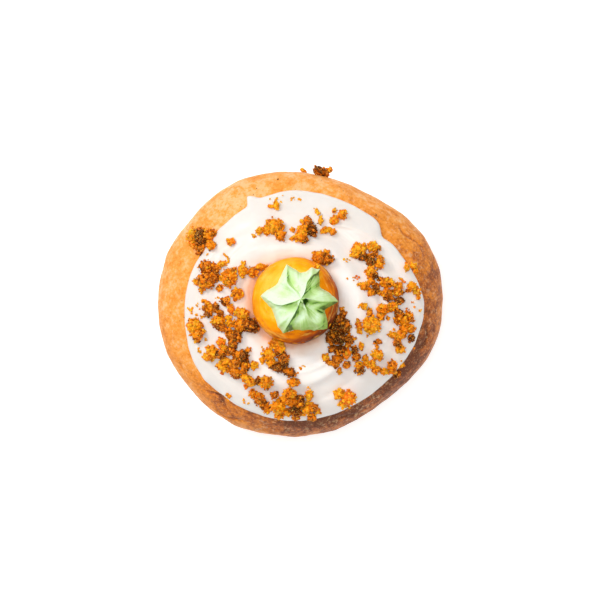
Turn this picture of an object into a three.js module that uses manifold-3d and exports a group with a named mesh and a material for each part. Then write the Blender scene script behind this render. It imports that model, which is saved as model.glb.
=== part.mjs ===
import * as THREE from "three";
import { mergeVertices } from "three/addons/utils/BufferGeometryUtils.js";
import Module from "manifold-3d";

// Filled yeast doughnut: a fried bun under spread white icing, with an orange piped dome in the middle, a green
// star rosette on the dome, and cake crumbs scattered in ragged heaps.
// Millimetres, +Z up. The origin is the middle of the flat underside, and angles run from +X towards +Y.

const TURN = 2 * Math.PI;
const DEGREE = TURN / 360;
const GAP = 0.3; // clearance between pieces that rest on each other

// Bun: its outline from above, every 20 degrees, and its side profile.
const BUN_RADII = [
  46.6, 46.6, 44.3, 42.1, 42.4, 43.3, 44.7, 44.6, 45.9, 46.2, 45.9, 45.1, 44.9, 43.7, 43.0, 42.0, 42.9, 45.7,
];
const BUN_WAIST = 17; // height of its widest level
const BUN_CROWN = 38; // height of its top
const BUN_DEPTH = 19; // depth below the waist, before the flat underside cuts it off
const BUN_POWER = 2.3; // 2 is an ellipse, and more is squarer
const BUN_SWELL = { height: 0.5, lengths: [9, 11, 7], minor: 0.6, square: 4 }; // unevenness of its top

// Icing: its edge from above, every 15 degrees, with its nicks, and how it was spread.
const ICING_RADII = [
  39.9, 37.9, 35.7, 36.4, 35.9, 35.8, 36.3, 36.2, 35.2, 35.1, 35.2, 36.1, 36.8, 37.7, 38.9, 38.6, 38.2, 37.9, 37.7,
  37.2, 37.1, 37.4, 38.3, 39.5,
];
const ICING_NICKS = [
  { angle: 116, reach: 2.9, before: 4, after: 1.5 }, // spur drawn out by the knife
  { angle: 39, reach: -2.0, before: 5, after: 4.5 }, // step where the edge draws in
  { angle: 219, reach: 0.5, before: 3, after: 3 }, // small corner
];
const ICING_THICK = 2.6;
const ICING_ROOT = 0.8; // how far its uncut edge reaches below the bun's surface
const ICING_LIP = 1.7; // width of the rounded edge
// Ridge that the knife left round the dome: its distance from the dome's middle, every 30 degrees, and its sides.
const RING_RADII = [21.2, 19.4, 19.4, 18.6, 19.6, 23.0, 25.4, 27.0, 27.6, 27.0, 25.2, 23.2];
const RING = { inside: 3.6, outside: 2.4, height: 0.95 };
const WAVE = { pitch: 9.5, height: 0.28, from: 3, to: 7 }; // fainter ridges outside it
const MARKED = [0.8, 0.97]; // shares of the way to the edge between which the knife's marks fade out
const MARKED_SHARE = 0.66; // share of the top that is marked, from the edge inwards

// Dome: a piped ball, pressed flat where it rests on the icing.
const DOME_AT = { x: -1.3, y: 1.0 };
const DOME_RADIUS = 13.7;
const DOME_WAIST = 4.2;
const DOME_HEIGHT = 12.5;
const DOME_DEPTH = 8;
const DOME_ROOT = 1.2; // how far its uncut foot reaches below the icing's surface
const DOME_POWER = 2.2;

// Rosette: each ridge runs from its outer tip to the peak, through three angles. Reach is the tip's distance from
// the peak. The hollow before the next ridge is at a share of the way to it, and a distance from the peak.
const ROSETTE_AT = { x: 0.4, y: 1.5 };
const ROSETTE_RIDGES = [
  { tip: -4, middle: -8, inner: 9, reach: 11.6, hollowAt: 0.6, hollow: 7.2 },
  { tip: 57, middle: 70, inner: 54, reach: 11.2, hollowAt: 0.6, hollow: 8.2 },
  { tip: 112, middle: 132, inner: 127, reach: 11.7, hollowAt: 0.5, hollow: 8.8 },
  { tip: 176, middle: 199, inner: 203, reach: 12.6, hollowAt: 0.4, hollow: 9.6 },
  { tip: 243, middle: 246, inner: 253, reach: 12.0, hollowAt: 0.4, hollow: 9.2 },
  { tip: 312, middle: 293, inner: 302, reach: 12.4, hollowAt: 0.5, hollow: 8.2 },
];
const ROSETTE_WALL = { height: 4.6, square: 9, power: 0.8 }; // steep outer part, squarer the larger square is
const ROSETTE_CONE = { height: 4.6, power: 1.1 }; // cone above it, more hollow-sided the larger power is
const ROSETTE_LEVELS = [0.99, 0.96, 0.91, 0.83, 0.7, 0.54, 0.38, 0.22, 0.1, 0]; // shares of the way out
const ROSETTE_DROOP = 3.6; // how far the tips hang below the middle
const ROSETTE_PINCH = 0.3; // how much deeper the hollows get towards the peak
const RIDGE_SHARPNESS = 1.6; // 1 is a straight-sided star, and more has rounder hollows
const RIDGE_BENDS = { inner: [0, 0.55], outer: [0.45, 1] }; // shares of the way out between which a ridge turns

// Crumb heaps: middle, length and width from above, and heading of the length in degrees.
const HEAPS_ON_ICING = [
  // left side
  [-21.9, 19.8, 2.9, 2.6, 0],
  [-29.6, 11.6, 6.2, 4.2, 0],
  [-29.0, 7.2, 7.6, 6.0, 10],
  [-24.4, 12.8, 3.8, 2.4, 20],
  [-22.6, 8.2, 7.2, 6.0, 95],
  [-18.2, 10.6, 4.8, 3.4, 90],
  [-14.0, 10.6, 5.4, 3.6, 25],
  [-19.8, 3.0, 4.4, 3.8, 0],
  [-23.6, 0.7, 3.4, 2.8, 0],
  [-21.7, -1.9, 3.4, 2.6, 90],
  [-29.6, -1.2, 5.8, 3.8, 95],
  [-26.2, -2.0, 6.0, 3.0, 110],
  [-33.4, -8.0, 8.2, 5.8, 95],
  [-25.0, -6.4, 6.6, 5.0, 160],
  [-18.6, -4.4, 6.6, 5.6, 150],
  [-15.8, -7.2, 6.6, 5.0, 165],
  [-21.0, -10.8, 6.4, 5.2, 95],
  [-25.4, -12.8, 3.6, 3.2, 0],
  [-28.6, -16.0, 5.8, 5.0, 60],
  [-22.0, -18.2, 12.0, 8.6, 150],
  // bottom
  [-14.4, -19.6, 3.2, 2.8, 0],
  [-16.2, -24.8, 5.8, 4.4, 135],
  [-11.4, -25.0, 5.8, 5.0, 0],
  [-12.8, -30.6, 8.0, 4.8, 115],
  [-8.0, -29.4, 3.2, 2.8, 30],
  [-6.2, -33.2, 6.8, 6.4, 0],
  [-1.6, -32.2, 9.4, 6.8, 95],
  [3.8, -34.4, 6.8, 5.0, 140],
  [3.0, -29.6, 5.0, 2.8, 95],
  [-7.4, -12.8, 5.4, 4.6, 0],
  [-7.8, -17.4, 8.6, 8.2, 110],
  [-3.2, -21.8, 4.6, 3.4, 160],
  [-1.8, -24.9, 4.2, 3.4, 170],
  [14.9, -30.3, 7.4, 6.6, 135],
  // right side
  [13.3, -5.4, 9.2, 5.4, 98],
  [12.0, -11.2, 8.0, 6.6, 0],
  [12.4, -16.6, 9.0, 7.0, 10],
  [18.6, -17.8, 9.6, 4.6, 105],
  [12.7, -21.3, 2.6, 1.8, 80],
  [22.6, -6.8, 7.8, 6.4, 0],
  [22.3, -2.6, 3.0, 2.4, 90],
  [20.2, -0.9, 3.2, 2.8, 0],
  [24.8, -12.4, 3.2, 1.8, 0],
  [24.8, -16.2, 4.6, 3.6, 160],
  [25.0, -20.6, 7.4, 3.6, 160],
  [30.4, -20.6, 5.4, 4.6, 140],
  [27.0, -2.4, 6.6, 5.2, 30],
  [31.4, -2.0, 4.6, 4.4, 130],
  [33.4, -6.2, 5.6, 5.4, 90],
  [33.4, -9.6, 6.4, 5.4, 0],
  [31.8, -13.6, 4.8, 4.2, 100],
  [29.4, 3.4, 9.4, 7.4, 165],
  [22.6, 5.6, 7.4, 6.4, 120],
  [23.8, 11.6, 8.2, 5.2, 100],
  [20.8, 16.4, 9.2, 6.0, 10],
  [36.6, 4.2, 5.6, 4.0, 130],
  [35.6, 11.6, 4.8, 3.6, 150],
  // top
  [12.8, 27.9, 6.2, 4.6, 45],
  [9.2, 23.1, 5.6, 2.4, 165],
  [6.7, 26.3, 3.2, 2.2, 80],
  [1.6, 23.2, 9.4, 6.8, 60],
  [-7.8, 23.8, 8.2, 6.4, 110],
  [-13.0, 22.9, 4.0, 2.6, 30],
  [-7.9, 31.2, 4.2, 2.8, 0],
  [7.1, 14.4, 6.6, 5.8, 0],
];
const HEAPS_ON_BUN = [
  [-31.6, 20.9, 10.0, 8.0, 0],
  [7.4, 42.7, 6.0, 4.2, 160],
];
const HEAP_STEEPNESS = 0.5; // height of a heap for its width
const HEAP_HEIGHT = 4.4; // tallest
const HEAP_FALL = 0.55; // share by which a heap is lower at its rim
const LUMP_RADIUS = 2.4; // largest
const LUMP_WIDTH = 0.42; // radius of a lump for the width of a narrow heap
const LUMP_PACKING = 0.2; // lumps in a square as wide as one lump's radius
const LUMP_INSET = 0.8; // distance of the outer lumps from the heap's rim, in radii
const LUMP_SIZES = [1.05, 1.45]; // smallest and largest, in radii
const LUMP_CRAGS = 0.3; // share by which a lump's corners stray
const LUMP_SINK = 1.2; // how deep a lump is pressed in
const SPREAD_ANGLE = 137.5 * DEGREE; // turn from lump to lump that spreads them evenly over a heap

// Fineness of the solids.
const BUN_SEGMENTS = 60;
const BUN_RINGS = { below: 5, above: 11 };
const ICING_SEGMENTS = 72;
const ICING_RINGS = { lip: 5, top: 9 };
const ROSETTE_SEGMENTS = 60;
const DOME_SEGMENTS = 36;
const DOME_RINGS = { below: 4, above: 8 };

const wasm = await Module();
wasm.setup();

// Numbers from 1 / count to 1.
const steps = (count) => Array.from({ length: count }, (_, i) => (i + 1) / count);

// A repeatable stray number from 0 to 1.
function stray(seed) {
  const value = Math.sin(seed * 127.1 + 311.7) * 43758.5453;
  return value - Math.floor(value);
}

// The value at an angle, on a smooth curve through values spaced evenly round a circle.
function roundCircle(values, angle) {
  const count = values.length;
  const place = THREE.MathUtils.euclideanModulo(angle / TURN, 1) * count;
  const first = Math.floor(place);
  const t = place - first;
  const [a, b, c, d] = [-1, 0, 1, 2].map((k) => values[(first + k + count) % count]);
  return b + 0.5 * t * (c - a + t * (2 * a - 5 * b + 4 * c - d + t * (3 * (b - c) + d - a)));
}

// A closed solid of rings round the Z axis. place(angle, ring) gives each point, from the lower pole, ring 0, to
// the upper one, ring rings.
function ringSolid(segments, rings, place) {
  const geometry = new THREE.SphereGeometry(1, segments, rings);
  const { position, uv } = geometry.attributes;
  for (let i = 0; i < position.count; i++) {
    const share = THREE.MathUtils.euclideanModulo(uv.getX(i), 1);
    const { x, y, z } = place(share * TURN, Math.round(uv.getY(i) * rings));
    position.setXYZ(i, x, y, z);
  }
  geometry.deleteAttribute("normal");
  geometry.deleteAttribute("uv");
  return mergeVertices(geometry, 1e-4);
}

function manifoldOf(geometry) {
  const { position } = geometry.attributes;
  return new wasm.Manifold(
    new wasm.Mesh({ numProp: 3, vertProperties: position.array, triVerts: new Uint32Array(geometry.index.array) }),
  );
}

// The geometry of a solid's largest shell alone, so that sealed hollows are filled and loose scraps dropped.
function geometryOf(manifold) {
  const { vertProperties, triVerts } = manifold.getMesh();
  const parent = Array.from({ length: vertProperties.length / 3 }, (_, i) => i);
  const shellOf = (vertex) => {
    while (parent[vertex] !== vertex) vertex = parent[vertex];
    return vertex;
  };
  for (let i = 0; i < triVerts.length; i++) {
    if (i % 3 !== 0) parent[shellOf(triVerts[i])] = shellOf(triVerts[i - 1]);
  }
  const shells = new Map();
  for (let i = 0; i < triVerts.length; i += 3) {
    const shell = shellOf(triVerts[i]);
    if (!shells.has(shell)) shells.set(shell, []);
    shells.get(shell).push(...triVerts.slice(i, i + 3));
  }
  const largest = [...shells.values()].reduce((a, b) => (b.length > a.length ? b : a));
  const geometry = new THREE.BufferGeometry();
  geometry.setAttribute("position", new THREE.BufferAttribute(vertProperties, 3));
  return geometry.setIndex(largest);
}

const joined = (manifolds) => manifolds.reduce((sum, next) => sum.add(next));

const polar = (angle, reach, z, at = { x: 0, y: 0 }) => ({
  x: at.x + reach * Math.cos(angle),
  y: at.y + reach * Math.sin(angle),
  z,
});

// A bulging side, as an ellipse of any power: tilt runs from below the waist to a quarter turn at the top.
function bulge(tilt, radius, depth, rise, power) {
  return {
    out: radius * Math.max(0, Math.cos(tilt)) ** (2 / power),
    up: (tilt < 0 ? -depth : rise) * Math.abs(Math.sin(tilt)) ** (2 / power),
  };
}

// The tilt at which a bulge meets the flat that cuts it off below its waist.
const lowestTilt = (waist, depth, power) => -Math.asin((waist / depth) ** (power / 2));

// Height of a bulge's upper half at a share of its radius.
const crownAt = (share, rise, power) => rise * Math.max(0, 1 - share ** power) ** (1 / power);

const bunRadius = (angle) => roundCircle(BUN_RADII, angle);

// Low swells of the bun's top, which fade out towards its side.
function bunSwell(x, y, share) {
  const { height, lengths, minor, square } = BUN_SWELL;
  const wave = Math.sin(x / lengths[0] + 1) * Math.cos(y / lengths[1]) + minor * Math.sin((x + y) / lengths[2]);
  return height * wave * Math.max(0, 1 - share ** square);
}

// Height of the bun's top surface.
function bunTop(x, y) {
  const share = Math.min(1, Math.hypot(x, y) / bunRadius(Math.atan2(y, x)));
  return BUN_WAIST + crownAt(share, BUN_CROWN - BUN_WAIST, BUN_POWER) + bunSwell(x, y, share);
}

// The bun, or a copy grown all round by the given distance.
function bun(grown = 0) {
  const lowest = lowestTilt(BUN_WAIST, BUN_DEPTH, BUN_POWER);
  const tilts = [
    lowest,
    ...steps(BUN_RINGS.below).map((s) => lowest * (1 - s)),
    ...steps(BUN_RINGS.above).map((s) => (TURN / 4) * s),
  ];
  return ringSolid(BUN_SEGMENTS, tilts.length, (angle, ring) => {
    if (ring === 0) return { x: 0, y: 0, z: 0 };
    const tilt = tilts[ring - 1];
    const radius = bunRadius(angle) + grown;
    const { out, up } = bulge(tilt, radius, BUN_DEPTH, BUN_CROWN - BUN_WAIST + grown, BUN_POWER);
    const point = polar(angle, out, BUN_WAIST + up);
    if (tilt > 0) point.z += bunSwell(point.x, point.y, out / radius);
    return point;
  });
}

// Distance of the icing's edge from the middle.
function icingEdge(angle) {
  const nicks = ICING_NICKS.map(({ angle: at, reach, before, after }) => {
    const past = THREE.MathUtils.euclideanModulo(angle / DEGREE - at + 180, 360) - 180;
    return reach * Math.exp(-((past / (past < 0 ? before : after)) ** 2));
  });
  return roundCircle(ICING_RADII, angle) + nicks.reduce((sum, reach) => sum + reach, 0);
}

// The knife's marks: a ridge in a ring round the dome, and fainter ones outside it.
function knifeMarks(x, y) {
  const angle = Math.atan2(y - DOME_AT.y, x - DOME_AT.x);
  const past = Math.hypot(x - DOME_AT.x, y - DOME_AT.y) - roundCircle(RING_RADII, angle);
  const ring = RING.height * Math.exp(-((past / (past < 0 ? RING.inside : RING.outside)) ** 2));
  const wave = WAVE.height * Math.cos((TURN * past) / WAVE.pitch);
  const marks = ring + wave * THREE.MathUtils.smoothstep(past, WAVE.from, WAVE.to);
  const edge = Math.hypot(x, y) / icingEdge(Math.atan2(y, x));
  return marks * (1 - THREE.MathUtils.smoothstep(edge, ...MARKED));
}

// Height of the icing's upper surface, apart from its rounded lip.
const icingTop = (x, y) => bunTop(x, y) + GAP + ICING_THICK + knifeMarks(x, y);

// The icing before the bun is cut from its underside, or a copy grown outwards and upwards.
function icing(grown = 0) {
  const stations = [
    ...[0, 0.7, 1].map((reach) => ({ reach, over: 0, lift: 0 })),
    ...steps(ICING_RINGS.lip).map((s) => ({
      reach: 1,
      over: Math.sin(Math.PI * s),
      lift: (1 - Math.cos(Math.PI * s)) / 2,
    })),
    ...steps(ICING_RINGS.top).map((s) => ({ reach: 1 - MARKED_SHARE * s, over: 0, lift: 1 })),
    { reach: 0, over: 0, lift: 1 },
  ];
  return ringSolid(ICING_SEGMENTS, stations.length - 1, (angle, ring) => {
    const { reach, over, lift } = stations[ring];
    const out = (icingEdge(angle) - ICING_LIP + grown) * reach + ICING_LIP * over;
    const point = polar(angle, out, 0);
    const [low, high] = [bunTop(point.x, point.y) - ICING_ROOT, icingTop(point.x, point.y) + grown];
    point.z = low + (high - low) * lift;
    return point;
  });
}

const domeFoot = icingTop(DOME_AT.x, DOME_AT.y) + GAP;

// The dome before the icing is cut from its underside, or a copy grown outwards and upwards.
function dome(grown = 0) {
  const lowest = lowestTilt(DOME_WAIST + DOME_ROOT, DOME_DEPTH, DOME_POWER);
  const tilts = [
    lowest,
    ...steps(DOME_RINGS.below).map((s) => lowest * (1 - s)),
    ...steps(DOME_RINGS.above).map((s) => (TURN / 4) * s),
  ];
  return ringSolid(DOME_SEGMENTS, tilts.length, (angle, ring) => {
    const tilt = tilts[Math.max(0, ring - 1)];
    const side = bulge(tilt, DOME_RADIUS + grown, DOME_DEPTH, DOME_HEIGHT - DOME_WAIST + grown, DOME_POWER);
    return polar(angle, ring === 0 ? 0 : side.out, domeFoot + DOME_WAIST + side.up, DOME_AT);
  });
}

// The angle of a ridge at a share of the way out from the peak to its tip.
function ridgeAngle(ridge, share) {
  const near = THREE.MathUtils.smoothstep(share, ...RIDGE_BENDS.inner);
  const far = THREE.MathUtils.smoothstep(share, ...RIDGE_BENDS.outer);
  return DEGREE * (ridge.inner + (ridge.middle - ridge.inner) * near + (ridge.tip - ridge.middle) * far);
}

// A point of the rosette's star at a place round it, counted in ridges, and a share of the way out to its tips.
function starPoint(place, share) {
  const count = ROSETTE_RIDGES.length;
  const first = Math.floor(place) % count;
  const [ridge, next] = [ROSETTE_RIDGES[first], ROSETTE_RIDGES[(first + 1) % count]];
  const across = place - Math.floor(place);
  const from = ridgeAngle(ridge, share);
  const to = ridgeAngle(next, share) + (first + 1 === count ? TURN : 0);
  const { hollowAt } = ridge;
  const before = across < hollowAt;
  const tip = before ? ridge.reach : next.reach;
  const height = before ? 1 - across / hollowAt : (across - hollowAt) / (1 - hollowAt);
  const hollow = ridge.hollow * (1 - ROSETTE_PINCH * (1 - share));
  const reach = hollow + (tip - hollow) * height ** RIDGE_SHARPNESS;
  return polar(from + (to - from) * across, reach * share, 0, ROSETTE_AT);
}

// The rosette before the dome is cut from its underside.
function rosette() {
  const stations = [
    ...[0, 0.6, 1].map((share) => ({ share, lift: 0 })),
    ...ROSETTE_LEVELS.map((share) => ({
      share,
      lift:
        ROSETTE_WALL.height * (1 - share ** ROSETTE_WALL.square) ** ROSETTE_WALL.power +
        ROSETTE_CONE.height * (1 - share) ** ROSETTE_CONE.power,
    })),
  ];
  return ringSolid(ROSETTE_SEGMENTS, stations.length - 1, (angle, ring) => {
    const { share, lift } = stations[ring];
    const point = starPoint((angle / TURN) * ROSETTE_RIDGES.length, share);
    const away = Math.hypot(point.x - ROSETTE_AT.x, point.y - ROSETTE_AT.y);
    point.z = domeFoot + DOME_HEIGHT - ROSETTE_DROOP * (away / DOME_RADIUS) ** 2 + lift;
    return point;
  });
}

// One craggy lump of crumbs, from below the surface it is pressed into up to its height above it.
function lump({ x, y, z }, radius, height, seed) {
  const shape = new THREE.IcosahedronGeometry(1, 0);
  shape.deleteAttribute("normal");
  shape.deleteAttribute("uv");
  const geometry = mergeVertices(shape, 1e-4);
  const corners = geometry.attributes.position;
  for (let i = 0; i < corners.count; i++) {
    const size = 1 + LUMP_CRAGS * (2 * stray(seed + 0.37 * i) - 1);
    corners.setXYZ(i, corners.getX(i) * size, corners.getY(i) * size, corners.getZ(i) * size);
  }
  geometry.rotateZ(stray(seed) * TURN);
  geometry.scale(radius, radius, (height + LUMP_SINK) / 2);
  geometry.translate(x, y, z + (height - LUMP_SINK) / 2);
  return manifoldOf(geometry);
}

// The lumps of one heap, spread evenly over its oval and tallest in its middle.
function heap([x, y, length, width, heading], surface, seed) {
  const radius = Math.min(LUMP_RADIUS, LUMP_WIDTH * width);
  const count = Math.max(1, Math.round((LUMP_PACKING * length * width) / radius ** 2));
  const height = Math.min(HEAP_HEIGHT, HEAP_STEEPNESS * width);
  return Array.from({ length: count }, (_, i) => {
    const out = count === 1 ? 0 : Math.sqrt((i + 0.5) / count);
    const place = new THREE.Vector2(
      out * Math.cos(i * SPREAD_ANGLE) * Math.max(0, length / 2 - LUMP_INSET * radius),
      out * Math.sin(i * SPREAD_ANGLE) * Math.max(0, width / 2 - LUMP_INSET * radius),
    );
    place.rotateAround(new THREE.Vector2(), heading * DEGREE).add(new THREE.Vector2(x, y));
    const size = radius * THREE.MathUtils.lerp(...LUMP_SIZES, stray(seed + i));
    const at = { x: place.x, y: place.y, z: surface(place.x, place.y) };
    return lump(at, size, height * (1 - HEAP_FALL * out ** 2), seed + 10 * i);
  });
}

const heaps = (rows, surface) => joined(rows.flatMap((row, i) => heap(row, surface, 100 * (i + 1))));

// Each piece is cut clear of the one that it rests on.
const solid = {
  bun: manifoldOf(bun()),
  icing: manifoldOf(icing()).subtract(manifoldOf(bun(GAP))),
  dome: manifoldOf(dome()).subtract(manifoldOf(icing(GAP))),
  rosette: manifoldOf(rosette()).subtract(manifoldOf(dome(GAP))),
};
const bunCrumbs = heaps(HEAPS_ON_BUN, bunTop).subtract(manifoldOf(icing(GAP)));
const icingCrumbs = heaps(HEAPS_ON_ICING, icingTop).subtract(manifoldOf(dome(GAP))).subtract(manifoldOf(bun(GAP)));

function piece(name, geometry, colour, roughness) {
  const material = new THREE.MeshStandardMaterial({ color: colour, roughness, metalness: 0 });
  const mesh = new THREE.Mesh(geometry, material);
  mesh.name = name;
  return mesh;
}

const doughnut = new THREE.Group();
doughnut.add(
  piece("bun", geometryOf(solid.bun.add(bunCrumbs)), 0xd9924f, 0.55),
  piece("icing", geometryOf(solid.icing.add(icingCrumbs)), 0xf8f4ec, 0.4),
  piece("dome", geometryOf(solid.dome), 0xf79a14, 0.4),
  piece("rosette", geometryOf(solid.rosette), 0xb6dd94, 0.5),
);

export default doughnut;
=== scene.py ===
import math

import bmesh
import bpy
import numpy as np
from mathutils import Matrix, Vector


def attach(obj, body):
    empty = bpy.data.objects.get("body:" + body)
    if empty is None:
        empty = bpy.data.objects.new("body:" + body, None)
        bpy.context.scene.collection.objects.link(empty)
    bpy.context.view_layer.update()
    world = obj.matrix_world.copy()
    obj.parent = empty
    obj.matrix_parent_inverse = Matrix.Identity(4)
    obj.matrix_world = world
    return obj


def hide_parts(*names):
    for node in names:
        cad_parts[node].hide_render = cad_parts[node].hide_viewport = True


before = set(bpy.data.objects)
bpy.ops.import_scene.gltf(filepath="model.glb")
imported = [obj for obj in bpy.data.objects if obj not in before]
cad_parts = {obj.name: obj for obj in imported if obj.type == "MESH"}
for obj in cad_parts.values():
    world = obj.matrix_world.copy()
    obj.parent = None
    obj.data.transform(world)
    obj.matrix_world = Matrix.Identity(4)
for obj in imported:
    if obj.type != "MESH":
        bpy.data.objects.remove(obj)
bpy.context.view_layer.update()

# Filled yeast doughnut with spread icing, an orange piped dome, a green star rosette and cake crumbs.
# Sizes are in millimetres, and MM turns them into metres. Angles run from +X towards +Y.

MM = 0.001
TURN = 2 * math.pi
DEGREE = TURN / 360
KEY_LIGHT_SIDE = 138 * DEGREE  # the side the key light comes from; cream sides sloping away from it are painted darker as painted shade, and the icing is painted paler away from it and darker towards it, as painted light
GAP = 0.3  # how far the icing's surface stands clear of the bun's in the frame, besides its thickness

# Bun: its outline from above, every 20 degrees, and its side profile.
BUN_RADII = [
    46.6, 46.6, 44.3, 42.1, 42.4, 43.3, 44.7, 44.6, 45.9, 46.2, 45.9, 45.1, 44.9, 43.7, 43.0, 42.0, 42.9, 45.7,
]  # fmt: skip
BUN_WAIST = 17
BUN_CROWN = 38
BUN_DEPTH = 19
BUN_POWER = 2.3
SWELL_HEIGHT, SWELL_LENGTHS, SWELL_MINOR = 0.5, (9, 11, 7), 0.6

# Icing: its edge from above, every 15 degrees, with its nicks as angle, reach, and spread before and after it.
ICING_RADII = [
    39.9, 37.9, 35.7, 36.4, 35.9, 35.8, 36.3, 36.2, 35.2, 35.1, 35.2, 36.1, 36.8, 37.7, 38.9, 38.6, 38.2, 37.9, 37.7,
    37.2, 37.1, 37.4, 38.3, 39.5,
]  # fmt: skip
ICING_NICKS = [(116, 2.9, 4, 1.5), (39, -2.0, 5, 4.5), (219, 0.5, 3, 3)]
ICING_THICK = 2.6
ICING_ROOT = 0.8
ICING_LIP = 1.7
RING_RADII = [21.2, 19.4, 19.4, 18.6, 19.6, 23.0, 25.4, 27.0, 27.6, 27.0, 25.2, 23.2]  # every 30 degrees
RING_INSIDE, RING_OUTSIDE, RING_HEIGHT = 3.6, 2.4, 0.95
SPIRAL_PITCH, SPIRAL_HEIGHT, SPIRAL_FROM = 9.5, 0.28, (3, 7)
MARKED = (0.8, 0.97)
# Single strokes of the knife: from and to as angle and radius about the dome, then height, and width on the two
# sides.
STROKES = [
    ((66, 26.4), (36, 33.0), 0.7, 0.9, 3.0),
    ((24, 23.6), (-8, 26.2), 0.35, 1.8, 0.9),
    ((-52, 24.6), (-88, 27.6), 0.26, 1.6, 0.9),
    ((-60, 21.8), (-96, 23.6), 0.22, 1.3, 0.8),
    ((-44, 29.4), (-80, 31.2), 0.18, 2.2, 1.0),
    ((158, 26.2), (128, 24.6), 0.4, 1.0, 2.2),
    ((100, 27.0), (74, 29.0), 0.35, 2.4, 1.0),
]

# Dome.
DOME_AT = (-1.3, 1.0)
DOME_RADIUS = 13.7
DOME_WAIST = 4.2
DOME_HEIGHT = 12.5
DOME_DEPTH = 8
DOME_ROOT = 1.2
DOME_POWER = 2.2

# Rosette: each ridge's tip, middle and inner angle, its reach, and the share and distance of the hollow after it.
ROSETTE_AT = (0.4, 1.5)
RIDGES = [
    (-4, -8, 9, 11.6, 0.6, 7.2),
    (57, 70, 54, 11.2, 0.6, 8.2),
    (112, 132, 127, 11.7, 0.5, 8.8),
    (176, 199, 203, 12.6, 0.4, 9.6),
    (243, 246, 253, 12.0, 0.4, 9.2),
    (312, 293, 302, 12.4, 0.5, 8.2),
]
WALL_HEIGHT, WALL_SQUARE, WALL_POWER = 4.6, 9, 0.8
CONE_HEIGHT, CONE_POWER = 4.6, 1.1
ROSETTE_DROOP = 3.6
ROSETTE_PINCH = 0.3
RIDGE_SHARPNESS = 1.6
BEND_INNER, BEND_OUTER = (0, 0.55), (0.45, 1)

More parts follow.
